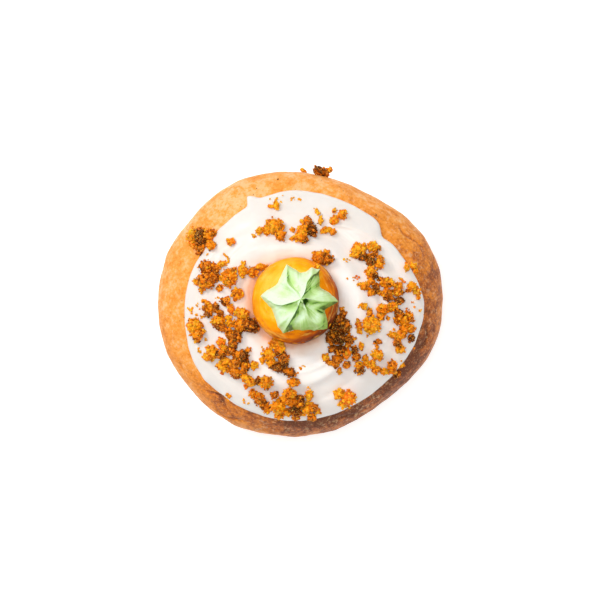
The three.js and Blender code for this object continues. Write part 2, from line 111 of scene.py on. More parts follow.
# Crumb clumps: middle, length and width from above, heading of the length in degrees, and colour, which runs from
# dark brown at 0 to golden at 1, and orange above it. Together they fill the outlines of the frame's heaps.
CLUMPS = [
    # on the bun
    (-34.2, 21.6, 6.0, 4.4, 95, 0.9), (-34.0, 19.2, 3.4, 2.8, 120, 1.1), (-31.7, 21.0, 6.6, 4.2, 95, 0.1),
    (-28.8, 21.8, 5.2, 4.6, 20, 0.6), (-31.8, 23.3, 5.0, 2.4, 0, 0.6), (-31.5, 17.0, 3.8, 3.4, 90, 0.4),
    (6.6, 43.0, 4.8, 3.6, 150, 0.25), (8.4, 42.2, 3.4, 2.8, 90, 0.35), (9.7, 43.4, 2.3, 2.0, 0, 0.8),
    (1.3, 43.2, 2.5, 1.1, 150, 0.8), (39.5, -4.0, 1.8, 1.0, 80, 0.85),
    # left side
    (-28.4, 18.6, 3.4, 3.0, 0, 0.6), (-26.6, 22.0, 2.6, 2.2, 0, 0.8), (-21.9, 19.7, 2.9, 2.5, 0, 1.15),
    (-29.6, 11.8, 5.6, 3.8, 0, 0.45), (-26.6, 11.4, 2.8, 2.4, 0, 0.5), (-29.8, 7.2, 6.4, 5.6, 0, 0.5),
    (-27.0, 8.8, 4.0, 3.6, 90, 0.35), (-33.2, 7.0, 2.4, 1.6, 130, 0.9), (-31.4, 4.4, 2.6, 1.3, 100, 0.9),
    (-24.6, 12.7, 3.4, 2.0, 10, 0.9), (-23.6, 15.4, 2.0, 0.7, -40, 0.9), (-22.7, 13.9, 2.4, 0.7, -75, 0.9),
    (-22.4, 8.3, 6.4, 5.4, 95, 0.65), (-20.8, 11.0, 1.6, 1.4, 0, 0.7), (-25.5, 4.9, 2.4, 2.2, 0, 0.5),
    (-18.2, 10.4, 4.2, 3.2, 90, 0.9), (-17.8, 12.8, 1.8, 1.6, 0, 1.0), (-14.8, 10.0, 3.8, 3.4, 90, 0.6),
    (-12.2, 11.7, 4.0, 2.0, 8, 0.9), (-19.7, 3.2, 3.9, 3.7, 0, 0.85), (-20.4, 1.5, 1.6, 1.4, 0, 0.9),
    (-23.6, 0.7, 3.3, 2.8, 0, 0.4), (-21.7, -1.9, 3.2, 2.4, 90, 1.15), (-30.6, 0.9, 1.6, 1.2, 0, 0.8),
    (-29.3, 0.2, 2.4, 1.8, 0, 0.6), (-29.8, -1.2, 2.6, 2.4, 0, 0.4), (-29.1, -3.1, 2.8, 2.4, 0, 0.3),
    (-28.2, -1.5, 3.0, 1.4, 90, 0.7), (-26.6, -1.2, 3.6, 2.4, 100, 0.35), (-25.1, -3.2, 3.4, 2.2, 120, 0.35),
    (-33.6, -7.0, 5.4, 5.2, 0, 0.85), (-32.6, -9.4, 4.6, 4.6, 0, 0.6), (-32.8, -11.6, 2.4, 2.2, 60, 0.5),
    (-25.8, -5.2, 4.4, 3.0, 0, 0.8), (-25.4, -7.2, 4.4, 2.4, 170, 0.3), (-23.8, -8.2, 3.6, 2.2, 170, 0.4),
    (-22.6, -4.6, 2.6, 1.8, 0, 0.85), (-22.0, -6.4, 3.0, 2.4, 0, 0.8), (-18.4, -3.2, 5.0, 3.8, 165, 0.9),
    (-19.0, -6.8, 4.6, 4.2, 0, 0.5), (-15.6, -7.1, 6.0, 4.6, 165, 0.2), (-20.4, -10.4, 4.6, 4.0, 100, 0.3),
    (-22.2, -10.2, 3.0, 2.6, 0, 0.5), (-21.3, -12.4, 3.8, 3.2, 90, 0.3), (-25.0, -12.4, 3.2, 2.8, 0, 1.1),
    (-23.8, -14.2, 2.4, 2.0, 0, 0.8), (-28.0, -14.4, 3.8, 2.4, 0, 0.9), (-28.3, -16.6, 4.2, 3.4, 30, 0.85),
    (-30.0, -17.4, 2.6, 1.8, 130, 0.9), (-24.6, -15.8, 3.4, 3.2, 0, 0.4), (-21.8, -15.0, 3.6, 3.0, 0, 0.2),
    (-19.6, -16.6, 3.6, 3.0, 0, 0.5), (-17.8, -16.8, 4.4, 3.4, 90, 0.15), (-16.4, -14.9, 2.6, 1.6, 30, 0.6),
    (-23.8, -18.6, 4.2, 2.8, 20, 0.85), (-20.4, -19.0, 4.6, 3.6, 0, 0.5), (-24.6, -20.4, 4.4, 2.4, 150, 0.95),
    (-20.6, -21.4, 5.0, 2.8, 165, 0.7), (-17.2, -19.8, 4.4, 3.4, 90, 0.4), (-20.2, -23.2, 3.4, 1.8, 160, 0.5),
    # bottom
    (-14.4, -19.6, 3.0, 2.8, 0, 0.95), (-17.0, -23.6, 3.4, 2.8, 0, 0.85), (-15.4, -25.2, 3.6, 2.6, 0, 0.85),
    (-16.8, -26.4, 1.8, 1.6, 0, 1.1), (-10.6, -25.0, 4.4, 4.2, 90, 0.8), (-13.1, -24.6, 2.6, 2.4, 90, 0.2),
    (-14.9, -28.6, 3.0, 2.4, 90, 0.6), (-12.8, -30.4, 5.0, 3.6, 110, 0.5), (-11.2, -32.4, 3.6, 3.0, 120, 0.4),
    (-10.4, -34.2, 2.6, 2.0, 30, 0.85), (-8.0, -29.2, 3.0, 2.4, 30, 0.4), (-6.8, -33.0, 5.0, 4.6, 0, 0.85),
    (-3.0, -28.6, 4.6, 3.4, 0, 0.75), (-5.4, -30.6, 3.0, 2.4, 0, 0.8), (-2.6, -31.2, 4.4, 3.6, 0, 0.4),
    (0.2, -31.2, 4.8, 3.2, 90, 0.25), (-1.4, -34.2, 4.4, 4.0, 90, 0.1), (-4.2, -34.8, 3.4, 2.6, 0, 0.8),
    (-6.6, -35.8, 3.0, 2.6, 0, 0.85), (-1.2, -36.6, 3.0, 2.0, 0, 0.6), (2.2, -33.8, 3.6, 3.4, 90, 0.75),
    (4.6, -33.4, 3.4, 2.8, 150, 0.35), (5.8, -34.4, 2.4, 2.0, 130, 0.6), (4.0, -36.4, 3.2, 2.8, 0, 0.45),
    (1.0, -35.2, 1.8, 1.6, 0, 0.9), (3.0, -29.4, 4.0, 2.6, 95, 0.8), (2.6, -31.8, 1.8, 1.4, 0, 1.0),
    (-7.2, -12.6, 5.0, 3.4, 0, 0.9), (-9.8, -16.2, 4.6, 4.0, 90, 0.85), (-11.9, -18.0, 2.4, 1.8, 100, 0.9),
    (-6.4, -14.8, 3.8, 3.6, 90, 0.7), (-5.2, -17.6, 4.8, 3.8, 90, 0.25), (-9.0, -18.8, 3.6, 3.0, 150, 0.9),
    (-7.0, -20.4, 5.6, 2.8, 165, 0.1), (-3.2, -21.8, 4.2, 3.0, 160, 0.3), (-1.8, -24.9, 3.8, 3.0, 170, 0.7),
    (11.8, -29.2, 3.4, 1.8, 115, 0.9), (13.2, -28.8, 3.6, 3.0, 150, 0.9), (15.6, -30.2, 5.4, 4.8, 135, 1.05),
    (14.4, -32.4, 3.6, 2.6, 0, 0.95),
    # right side
    (13.4, -1.7, 1.6, 1.4, 0, 0.7), (13.8, -3.3, 3.0, 2.4, 90, 0.3), (12.4, -5.2, 3.8, 3.6, 90, 0.1),
    (11.6, -7.8, 4.6, 3.6, 0, 0), (14.7, -7.2, 4.8, 3.2, 90, 0.2), (9.7, -10.8, 4.4, 3.0, 90, 0.1),
    (12.6, -11.2, 4.4, 4.2, 0, 0.05), (15.7, -11.3, 3.4, 3.2, 0, 0.3), (17.4, -11.2, 1.8, 1.2, 0, 0.8),
    (15.5, -13.2, 2.2, 2.0, 0, 0.5), (10.6, -14.2, 3.0, 2.6, 0, 0.2), (12.9, -14.8, 4.0, 3.0, 0, 0.15),
    (8.4, -17.2, 2.6, 2.6, 0, 0.8), (9.4, -18.8, 2.0, 1.6, 130, 0.85), (15.2, -16.0, 3.6, 2.6, 60, 1.15),
    (12.2, -17.6, 4.0, 3.0, 0, 0.5), (11.4, -19.4, 3.0, 2.2, 160, 0.5), (12.7, -21.3, 2.4, 1.6, 80, 0.9),
    (15.0, -19.6, 2.8, 2.2, 30, 0.5), (17.5, -14.9, 3.4, 2.3, 90, 0.15), (19.6, -13.6, 2.6, 2.0, 90, 0.8),
    (18.2, -17.2, 2.8, 2.6, 0, 0.3), (20.8, -17.4, 2.4, 2.0, 90, 0.75), (21.2, -19.2, 2.2, 1.8, 0, 0.85),
    (19.0, -19.4, 2.4, 2.4, 0, 0.8), (19.2, -21.3, 3.6, 2.8, 0, 0.25), (24.9, -12.3, 3.0, 1.6, 0, 0.3),
    (24.8, -13.8, 1.6, 1.3, 90, 0.7), (24.8, -16.4, 4.2, 3.2, 160, 0.9), (23.0, -19.4, 3.0, 2.8, 0, 0.85),
    (24.4, -21.0, 3.2, 2.6, 0, 0.55), (27.2, -21.7, 3.2, 2.1, 160, 0.85), (29.8, -19.8, 3.6, 3.4, 90, 0.6),
    (29.9, -21.6, 2.6, 2.0, 0, 0.8), (32.6, -20.0, 2.6, 1.6, 30, 0.9), (31.4, -22.8, 2.8, 2.6, 90, 0.45),
    (18.9, -7.4, 5.2, 2.0, 100, 1.1), (22.9, -6.7, 6.2, 5.6, 0, 0.95), (22.3, -2.7, 2.8, 2.1, 90, 0.7),
    (20.4, -0.9, 2.6, 2.2, 90, 0.95), (27.2, -1.8, 4.4, 3.4, 20, 0.7), (26.0, -1.6, 3.0, 3.0, 0, 0.8),
    (25.8, -3.8, 3.4, 2.6, 110, 0.6), (28.2, -4.7, 1.4, 1.3, 0, 0.6), (29.8, -1.0, 3.4, 3.0, 0, 0.75),
    (31.6, -3.2, 3.4, 2.8, 130, 0.2), (31.0, -5.4, 2.8, 2.2, 90, 0.4), (33.2, -5.4, 3.4, 3.0, 90, 0.8),
    (35.2, -4.2, 4.2, 2.6, 115, 0.65), (33.4, -8.0, 3.4, 3.0, 90, 0.6), (35.6, -8.0, 3.4, 3.0, 90, 0.55),
    (35.6, -11.0, 2.8, 2.4, 90, 0.3), (30.2, -10.2, 4.4, 2.2, 165, 0.85), (32.4, -9.8, 3.6, 3.2, 0, 0.75),
    (31.2, -12.4, 3.2, 3.0, 90, 0.35), (32.2, -14.4, 3.4, 3.2, 0, 0.85),
    # upper right
    (18.4, 17.6, 3.6, 3.4, 0, 0.9), (20.2, 17.6, 3.4, 2.8, 90, 0.9), (17.8, 15.6, 3.4, 2.6, 150, 0.95),
    (20.3, 14.8, 3.4, 2.6, 0, 0.2), (23.2, 18.2, 3.2, 3.2, 0, 0.85), (25.2, 17.8, 1.8, 1.6, 0, 0.9),
    (24.2, 16.2, 2.6, 2.2, 90, 0.35), (22.6, 15.0, 2.8, 2.2, 0, 0.25), (22.7, 13.2, 3.4, 3.4, 0, 0.25),
    (25.6, 13.1, 4.4, 3.0, 90, 0.7), (22.6, 10.4, 4.0, 2.8, 45, 0.85), (24.1, 9.2, 2.4, 2.2, 90, 0.15),
    (20.9, 10.2, 1.2, 1.1, 0, 0.9), (19.0, 6.2, 1.8, 1.4, 0, 0.85), (20.7, 5.6, 2.8, 2.8, 0, 0.85),
    (22.8, 7.0, 2.8, 2.6, 0, 0.7), (22.6, 3.6, 2.8, 2.4, 90, 0.6), (24.4, 5.2, 3.4, 2.6, 90, 0.1),
    (25.8, 7.9, 2.0, 1.6, 0, 0.4), (25.6, 3.4, 2.0, 1.8, 0, 0.7), (28.2, 6.5, 4.6, 3.2, 0, 0.85),
    (31.6, 5.6, 3.0, 2.4, 150, 0.75), (31.2, 3.5, 4.0, 2.8, 0, 0.6), (27.8, 3.4, 3.4, 3.0, 0, 0.5),
    (28.4, 1.6, 4.0, 1.8, 0, 0.2), (31.8, 0.9, 3.4, 2.4, 0, 0.15), (32.9, 7.4, 2.6, 1.0, 140, 1.15),
    (36.0, 5.4, 3.4, 3.0, 30, 0.9), (37.4, 4.0, 2.8, 2.6, 0, 0.7), (38.0, 2.2, 2.2, 1.4, 90, 0.75),
    (34.6, 4.2, 2.0, 1.4, 0, 0.5), (34.4, 11.6, 3.0, 2.2, 90, 0.9), (36.4, 12.2, 2.6, 2.2, 0, 0.95),
    (37.4, 10.4, 2.2, 1.4, 150, 0.95),
    # top
    (-9.0, 31.0, 2.4, 1.2, 0, 0.95), (-7.4, 31.2, 3.0, 2.4, 90, 0.95), (-8.2, 24.6, 5.8, 5.4, 0, 0.85),
    (-6.2, 21.8, 4.2, 3.4, 100, 0.75), (-12.6, 23.2, 3.0, 2.4, 20, 0.9), (-14.4, 21.6, 1.2, 1.1, 0, 0.8),
    (-10.4, 22.8, 2.6, 2.2, 0, 0.75), (2.7, 26.2, 3.6, 3.0, 110, 0.6), (0.9, 26.3, 1.6, 1.4, 0, 0.9),
    (1.0, 23.6, 3.8, 3.2, 30, 0.8), (4.0, 23.4, 4.6, 3.4, 100, 0.1), (0.2, 21.2, 4.8, 3.4, 20, 0.85),
    (-2.2, 23.5, 1.8, 1.6, 0, 0.95), (-2.4, 20.6, 1.6, 1.2, 0, 0.9), (1.8, 20.2, 2.8, 1.8, 30, 0.25),
    (5.4, 29.8, 1.6, 1.2, 90, 0.95), (6.0, 28.8, 1.4, 1.2, 0, 0.95), (6.7, 26.4, 2.8, 1.8, 80, 0.9),
    (8.4, 23.4, 4.2, 1.8, 15, 0.85), (10.6, 22.8, 2.2, 2.2, 0, 0.8), (11.2, 26.6, 3.2, 2.8, 20, 1.05),
    (13.6, 28.2, 3.2, 3.0, 45, 0.7), (14.4, 29.2, 2.2, 1.8, 90, 0.85), (11.2, 29.6, 1.8, 1.6, 0, 0.9),
    (6.2, 14.6, 4.6, 4.6, 0, 0.6), (8.6, 14.0, 4.0, 4.6, 90, 0.35), (8.6, 16.5, 2.2, 1.6, 160, 0.9),
    (5.4, 11.6, 2.4, 2.0, 0, 0.8),
]  # fmt: skip
CLUMP_STEEPNESS = 0.75  # height for the width
CLUMP_LEAST = 0.3
CLUMP_SINK = 0.9

# Grains: how many on each square millimetre of a core, their radii, the dust for each square millimetre of a clump,
# and the pieces that they are shared out to, each with the colours from and to, as above.
GRAINS = 1.35
GRAIN_RADII = (0.17, 0.47)
DUST = 0.12
GRAIN_SHADES = [("golden", 0.86, 2.0), ("amber", 0.55, 0.86), ("brown", -1.0, 0.55)]

# Loose bits: place, length across them, and colour as above.
BITS = [
    (-29.3, 15.7, 0.9, 0.9), (-26.0, 1.8, 1.2, 0.9), (-32.8, -0.6, 1.2, 0.9), (-31.9, -1.5, 1.0, 0.8),
    (-32.5, 0, 0.7, 0.9), (-35.7, -1.5, 1.2, 0.9), (-34.6, -2.4, 1.7, 0.9), (-33.2, -3.6, 1.3, 0.8),
    (-31.0, -4.4, 1.6, 0.8), (-30.1, -11.4, 1.3, 0.9), (-32.4, -15.2, 1.6, 0.9), (-22.9, -30.1, 2.5, 0.8),
    (-17.8, -31.0, 1.3, 0.8), (-16.4, -32.0, 1.0, 0.9), (-24.8, -22.0, 1.4, 1.15), (-11.9, -14.4, 1.2, 0.9),
    (0.5, -20.6, 1.3, 0.8), (1.2, -19.9, 1.1, 0.9), (-1.0, -22.0, 1.6, 0.7), (2.8, -26.9, 1.1, 0.9),
    (33.2, -18.4, 1.4, 0.8), (18.9, -1.1, 1.1, 0.9), (21.8, -10.2, 1.2, 0.8), (30.1, -8.3, 0.9, 0.8),
    (13.9, 14.1, 0.8, 0.95), (15.3, 14.4, 0.8, 0.95), (14.8, 13.4, 0.9, 0.95), (15.9, 13.9, 0.8, 0.95),
    (15.3, 8.0, 0.9, 1.1), (17.9, 8.1, 1.7, 1.15), (36.3, 0.4, 0.9, 0.8), (36.7, -1.2, 0.6, 0.8),
    (38.6, -2.2, 1.1, 0.95), (34.2, -1.9, 1.4, 0.5), (35.3, -3.1, 1.2, 0.8), (22.4, 19.6, 0.8, 0.9),
    (24.0, 19.7, 0.9, 0.9), (36.0, 7.0, 0.9, 0.9), (4.5, 44.1, 0.7, 0.8), (10.3, 41.8, 1.2, 0.7),
    (-9.3, 33.7, 0.7, 0.95), (-7.4, 33.4, 1.3, 0.95), (-5.1, 34.6, 0.8, 0.95), (-2.3, 33.6, 1.5, 0.9),
    (-0.1, 33.4, 1.0, 0.9), (0.1, 36.0, 1.0, 0.9), (-5.8, 32.4, 1.0, 0.95), (-6.9, 40.3, 0.8, 0.3),
    (4.2, 30.7, 0.8, 0.95), (5.8, 25.6, 0.7, 0.1), (9.6, -6.6, 0.9, 0.8), (3.9, 10.5, 0.7, 0.95),
    (36.7, -14.6, 1.0, 0.6), (30.2, -8.2, 0.9, 0.7), (-21.3, -15.7, 0.8, 0), (10.1, 22.0, 0.7, 0),
    (24.7, 10.6, 0.8, 0), (-19.1, 2.1, 0.7, 0), (-14.4, 21.2, 0.7, 0), (-28.9, 16.9, 0.7, 0),
    (24.6, 28.6, 1.0, 0.1),
]  # fmt: skip

random = np.random.default_rng(7)

# Smooth noise

LATTICE = np.random.default_rng(3).permutation(256)
SLOPES = np.random.default_rng(5).normal(size=(256, 3))
SLOPES /= np.linalg.norm(SLOPES, axis=1, keepdims=True)


def noise(points, size, seed=0.0):
    """Smooth noise of about -1 to 1 at an array of points, whose last axis is x, y and z, in lumps of that size."""
    place = np.asarray(points, float) / size + 19.19 * seed
    cell = np.floor(place).astype(int)
    part = place - cell
    fade = part**3 * (part * (part * 6 - 15) + 10)
    total = 0
    for corner in np.ndindex(2, 2, 2):
        at = (cell + corner) % 256
        index = LATTICE[(LATTICE[(LATTICE[at[..., 0]] + at[..., 1]) % 256] + at[..., 2]) % 256]
        weight = np.prod(np.where(corner, fade, 1 - fade), axis=-1)
        total = total + weight * np.sum(SLOPES[index] * (part - corner), axis=-1)
    return 1.7 * total


def smooth(value, low, high):
    """From 0 at low to 1 at high, with no corner."""
    t = np.clip((np.asarray(value, float) - low) / (high - low), 0, 1)
    return t * t * (3 - 2 * t)


def round_circle(values, angle):
    """The value at an angle, on a smooth curve through values spaced evenly round a circle."""
    values = np.asarray(values, float)
    count = len(values)
    place = (np.asarray(angle) / TURN % 1) * count
    first = np.floor(place).astype(int)
    t = place - first
    a, b, c, d = (values[(first + k) % count] for k in (-1, 0, 1, 2))
    return b + 0.5 * t * (c - a + t * (2 * a - 5 * b + 4 * c - d + t * (3 * (b - c) + d - a)))


# The frame's surfaces


def crown(share, rise, power):
    """Height of a bulge's upper half at a share of its radius."""
    return rise * np.maximum(0, 1 - share**power) ** (1 / power)


def bun_swell(x, y, share):
    """Low swells of the bun's top, which fade out towards its side."""
    a, b, c = SWELL_LENGTHS
    wave = np.sin(x / a + 1) * np.cos(y / b) + SWELL_MINOR * np.sin((x + y) / c)
    return SWELL_HEIGHT * wave * np.maximum(0, 1 - share**4)


def bun_top(x, y):
    """Height of the bun's top surface."""
    share = np.minimum(1, np.hypot(x, y) / round_circle(BUN_RADII, np.arctan2(y, x)))
    return BUN_WAIST + crown(share, BUN_CROWN - BUN_WAIST, BUN_POWER) + bun_swell(x, y, share)


def icing_edge(angle):
    """Distance of the icing's edge from the middle."""
    edge = round_circle(ICING_RADII, angle)
    for at, reach, before, after in ICING_NICKS:
        past = (np.asarray(angle) / DEGREE - at + 180) % 360 - 180
        edge = edge + reach * np.exp(-((past / np.where(past < 0, before, after)) ** 2))
    return edge


def knife_marks(x, y):
    """A ridge in a ring round the dome, and fainter ones outside it."""
    away = np.hypot(x - DOME_AT[0], y - DOME_AT[1])
    angle = np.arctan2(y - DOME_AT[1], x - DOME_AT[0])
    past = away - round_circle(RING_RADII, angle)
    marks = RING_HEIGHT * np.exp(-((past / np.where(past < 0, RING_INSIDE, RING_OUTSIDE)) ** 2))
    marks += SPIRAL_HEIGHT * np.cos(TURN * past / SPIRAL_PITCH) * smooth(past, *SPIRAL_FROM)
    edge = np.hypot(x, y) / icing_edge(np.arctan2(y, x))
    return marks * (1 - smooth(edge, *MARKED))


def fine_marks(x, y):
    """The single strokes and fine streaks of the knife, which the frame is too coarse for."""
    away = np.hypot(x - DOME_AT[0], y - DOME_AT[1])
    turned = np.arctan2(y - DOME_AT[1], x - DOME_AT[0])
    marks = 0
    for (start, first), (end, last), height, inside, outside in STROKES:
        middle = (start + end) / 2
        past = (turned / DEGREE - middle + 180) % 360 - 180
        share = past / (end - start) + 0.5
        from_crest = away - (first + (last - first) * np.clip(share, 0, 1))
        ends = smooth(share, -0.05, 0.25) * (1 - smooth(share, 0.7, 1.05))
        width = np.where(from_crest < 0, inside, outside)
        marks = marks + height * ends * np.exp(-((from_crest / width) ** 2))
    along = np.stack([away / 0.9, np.cos(turned) * 3.2, np.sin(turned) * 3.2], axis=-1)
    patches = smooth(noise(np.stack([x, y, 0 * x], axis=-1), 9, 2), -0.1, 0.5)
    marks = marks + 0.07 * noise(along, 1, 4) * patches
    wide = np.stack([x, y, 0 * x], axis=-1)
    marks = marks + 0.14 * noise(wide, 7, 6) + 0.05 * noise(wide, 2.6, 7)
    edge = np.hypot(x, y) / icing_edge(np.arctan2(y, x))
    return marks * (1 - smooth(edge, 0.86, 1.0))


def icing_top(x, y):
    """Height of the icing's upper surface, apart from its rounded lip."""
    return bun_top(x, y) + GAP + ICING_THICK + knife_marks(x, y)


dome_foot = float(icing_top(*DOME_AT)) + GAP

# Making pieces


def polar_grid(rings, segments):
    """Faces of a closed surface of rings with a pole at each end, numbered pole, rings in turn, pole."""
    faces = []
    last = 1 + rings * segments
    for i in range(segments):
        j = (i + 1) % segments
        faces.append((0, 1 + j, 1 + i))
        faces.append((last, last - segments + i, last - segments + j))
    a = 1 + np.arange((rings - 1) * segments).reshape(rings - 1, segments)
    b = np.roll(a, -1, axis=1)
    quads = np.stack([a, b, b + segments, a + segments], axis=-1).reshape(-1, 4)
    return faces + quads.tolist()


def outward(points):
    """Normals of a grid of rings of points."""
    round_it = np.roll(points, -1, axis=1) - np.roll(points, 1, axis=1)
    up_it = np.gradient(points, axis=0)
    normals = np.cross(round_it, up_it)
    return normals / np.maximum(np.linalg.norm(normals, axis=-1, keepdims=True), 1e-9)


def make_piece(name, vertices, faces, material, node, colours=None):
    """A mesh piece in millimetres that rides on the root body and stands for a node."""
    mesh = bpy.data.meshes.new(name)
    mesh.from_pydata((np.asarray(vertices) * MM).tolist(), [], faces)
    mesh.shade_smooth()
    if colours is not None:
        attribute = mesh.color_attributes.new("tint", "FLOAT_COLOR", "POINT")
        attribute.data.foreach_set("color", np.asarray(colours, np.float32).ravel())
    mesh.materials.append(material)
    piece = bpy.data.objects.new(name, mesh)
    bpy.context.collection.objects.link(piece)
    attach(piece, "root")
    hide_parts(*node)
    return piece


def ring_piece(name, rings, material, node, shares=None):
    """A closed piece from rings of points, whose ends are drawn together in a pole. Its tint holds the shares."""
    poles = rings[0].mean(axis=0, keepdims=True), rings[-1].mean(axis=0, keepdims=True)
    vertices = np.concatenate([poles[0], rings.reshape(-1, 3), poles[1]])
    tints = None
    if shares is not None:
        shares = np.concatenate([[shares[0].mean()], shares.ravel(), [shares[-1].mean()]])
        tints = np.column_stack([shares, shares, shares, np.ones(len(shares))])
    return make_piece(name, vertices, polar_grid(*rings.shape[:2]), material, node, tints)


def slope_and_painted_shade(rings, even):
    """How much painted shade a surface of rings of points gets, from its slope: 0 where it is level, 1 where it is
    upright.

    Where the surface faces the key light side, only the even share of that counts, so the side turned from the light
    is painted darker.
    """
    normals = outward(rings)
    slope = np.maximum(np.hypot(normals[..., 0], normals[..., 1]), 1e-6)
    towards = (normals[..., 0] * math.cos(KEY_LIGHT_SIDE) + normals[..., 1] * math.sin(KEY_LIGHT_SIDE)) / slope
    return slope * (even + (1 - even) * ((1 - towards) / 2) ** 1.5)


# Materials


class Look:
    """A material in the making, with short ways to add nodes to it."""

    def __init__(self, name, **values):
        self.material = bpy.data.materials.new(name)
        self.material.use_nodes = True
        self.tree = self.material.node_tree
        self.shader = self.tree.nodes["Principled BSDF"]
        self.set(self.shader, {key.replace("_", " "): value for key, value in values.items()})
        self.place = self.add("ShaderNodeTexCoord").outputs["Object"]

    def set(self, node, values):
        for key, value in values.items():
            if isinstance(value, bpy.types.NodeSocket):
                self.tree.links.new(value, node.inputs[key])
            else:
                node.inputs[key].default_value = value

    def add(self, kind, values=None, **settings):
        node = self.tree.nodes.new(kind)
        for key, value in settings.items():
            setattr(node, key, value)
        self.set(node, values or {})
        return node

    def noise(self, size, detail=3, roughness=0.55, place=None):
        """Noise from 0 to 1 in lumps of that size, in millimetres."""
        values = {
            "Vector": place or self.place,
            "Scale": 1 / (size * MM),
            "Detail": detail,
            "Roughness": roughness,
        }
        return self.add("ShaderNodeTexNoise", values).outputs["Fac"]

    def cells(self, size):
        """Distance from the middles of cells of that size, in millimetres."""
        values = {"Vector": self.place, "Scale": 1 / (size * MM)}
        return self.add("ShaderNodeTexVoronoi", values).outputs["Distance"]

    def range(self, value, low, high, to_low=0.0, to_high=1.0):
        values = {"Value": value, "From Min": low, "From Max": high, "To Min": to_low, "To Max": to_high}
        return self.add("ShaderNodeMapRange", values, interpolation_type="SMOOTHSTEP").outputs["Result"]

    def math(self, operation, *values):
        return self.add("ShaderNodeMath", dict(enumerate(values)), operation=operation).outputs[0]

    def mix(self, share, first, second, blend="MIX"):
        node = self.add("ShaderNodeMix", {0: share, 6: first, 7: second}, data_type="RGBA", blend_type=blend)
        return node.outputs[2]

    def ramp(self, value, *stops):
        node = self.add("ShaderNodeValToRGB", {"Fac": value})
        elements = node.color_ramp.elements
        while len(elements) < len(stops):
            elements.new(0.5)
        for element, (position, colour) in zip(elements, stops):
            element.position = position
            element.color = colour
        return node.outputs["Color"]

    def tint_share(self):
        """The share that a piece's tint holds at each place."""
        tint = self.add("ShaderNodeVertexColor", layer_name="tint").outputs["Color"]
        return self.add("ShaderNodeSeparateColor", {"Color": tint}).outputs["Red"]

    def bump(self, height, depth, strength=1.0, normal=None):
        """Relief of that depth, in millimetres."""
        values = {"Height": height, "Distance": depth * MM, "Strength": strength}
        if normal:
            values["Normal"] = normal
        return self.add("ShaderNodeBump", values).outputs["Normal"]

    def finish(self, **values):
        self.set(self.shader, {key.replace("_", " "): value for key, value in values.items()})
        return self.material


def srgb(*channels):
    """A colour from its 0 to 255 display values."""
    shares = [c / 255 for c in channels]
    return (*(c / 12.92 if c <= 0.04045 else ((c + 0.055) / 1.055) ** 2.4 for c in shares), 1.0)


def dough_look():
    look = Look("fried_dough", IOR=1.44, Specular_IOR_Level=0.2, Subsurface_Weight=0.08, Subsurface_Scale=0.001)
    look.set(look.shader, {"Subsurface Radius": (1.0, 0.5, 0.2)})
    wide = look.noise(20, 4, 0.55)
    patches = look.noise(4, 5, 0.65)
    fine = look.noise(1.0, 4, 0.65)
    # The tint holds the crust's real browning together with painted shade, which darkens the side turned from the
    # key light, the crust below the icing's edge there, and the creases.
    browning_and_shade = look.math("MULTIPLY_ADD", look.math("SUBTRACT", wide, 0.5), 0.9, look.tint_share())
    browning_and_shade = look.math("MULTIPLY_ADD", look.math("SUBTRACT", patches, 0.5), 1.3, browning_and_shade)
    browning_and_shade = look.math("MULTIPLY_ADD", look.math("SUBTRACT", fine, 0.5), 0.6, browning_and_shade)
    colour = look.ramp(
        browning_and_shade,
        (0.0, srgb(238, 182, 122)),
        (0.2, srgb(240, 158, 68)),
        (0.45, srgb(228, 137, 42)),
        (0.75, srgb(178, 98, 46)),
        (1.0, srgb(114, 62, 36)),
    )
    flecks = look.math("MULTIPLY", look.range(look.noise(1.8, 3, 0.6), 0.54, 0.66), look.range(wide, 0.62, 0.45))
    colour = look.mix(look.math("MULTIPLY", flecks, 0.4), colour, srgb(242, 198, 150))
    grain = look.noise(0.6, 3, 0.7)
    colour = look.mix(look.range(grain, 0.55, 0.7, 0, 0.4), colour, srgb(238, 192, 138))
    colour = look.mix(look.range(grain, 0.42, 0.3, 0, 0.22), colour, srgb(140, 72, 30))
    height = look.add("ShaderNodeSeparateXYZ", {"Vector": look.place}).outputs["Z"]
    wander = look.math("MULTIPLY_ADD", wide, 0.008, height)
    band = look.math("MULTIPLY", look.range(wander, 0.0095, 0.0155), look.range(wander, 0.0255, 0.0195))
    colour = look.mix(look.math("MULTIPLY", band, 0.4), colour, srgb(238, 184, 116))
    specks = look.range(look.cells(2.3), 0.12, 0.05)
    speck_patches = look.range(look.noise(6, 2), 0.48, 0.6)
    colour = look.mix(look.math("MULTIPLY", specks, speck_patches), colour, srgb(104, 52, 28))
    pores = look.range(look.cells(0.9), 0.0, 0.35)
    normal = look.bump(look.noise(2.6, 4, 0.6), 0.4, 0.6)
    normal = look.bump(look.noise(0.6, 3, 0.65), 0.12, 0.6, normal)
    normal = look.bump(pores, 0.06, 0.5, normal)
    shine = look.range(patches, 0.3, 0.7, 0.45, 0.62)
    return look.finish(Base_Color=colour, Normal=normal, Roughness=shine)


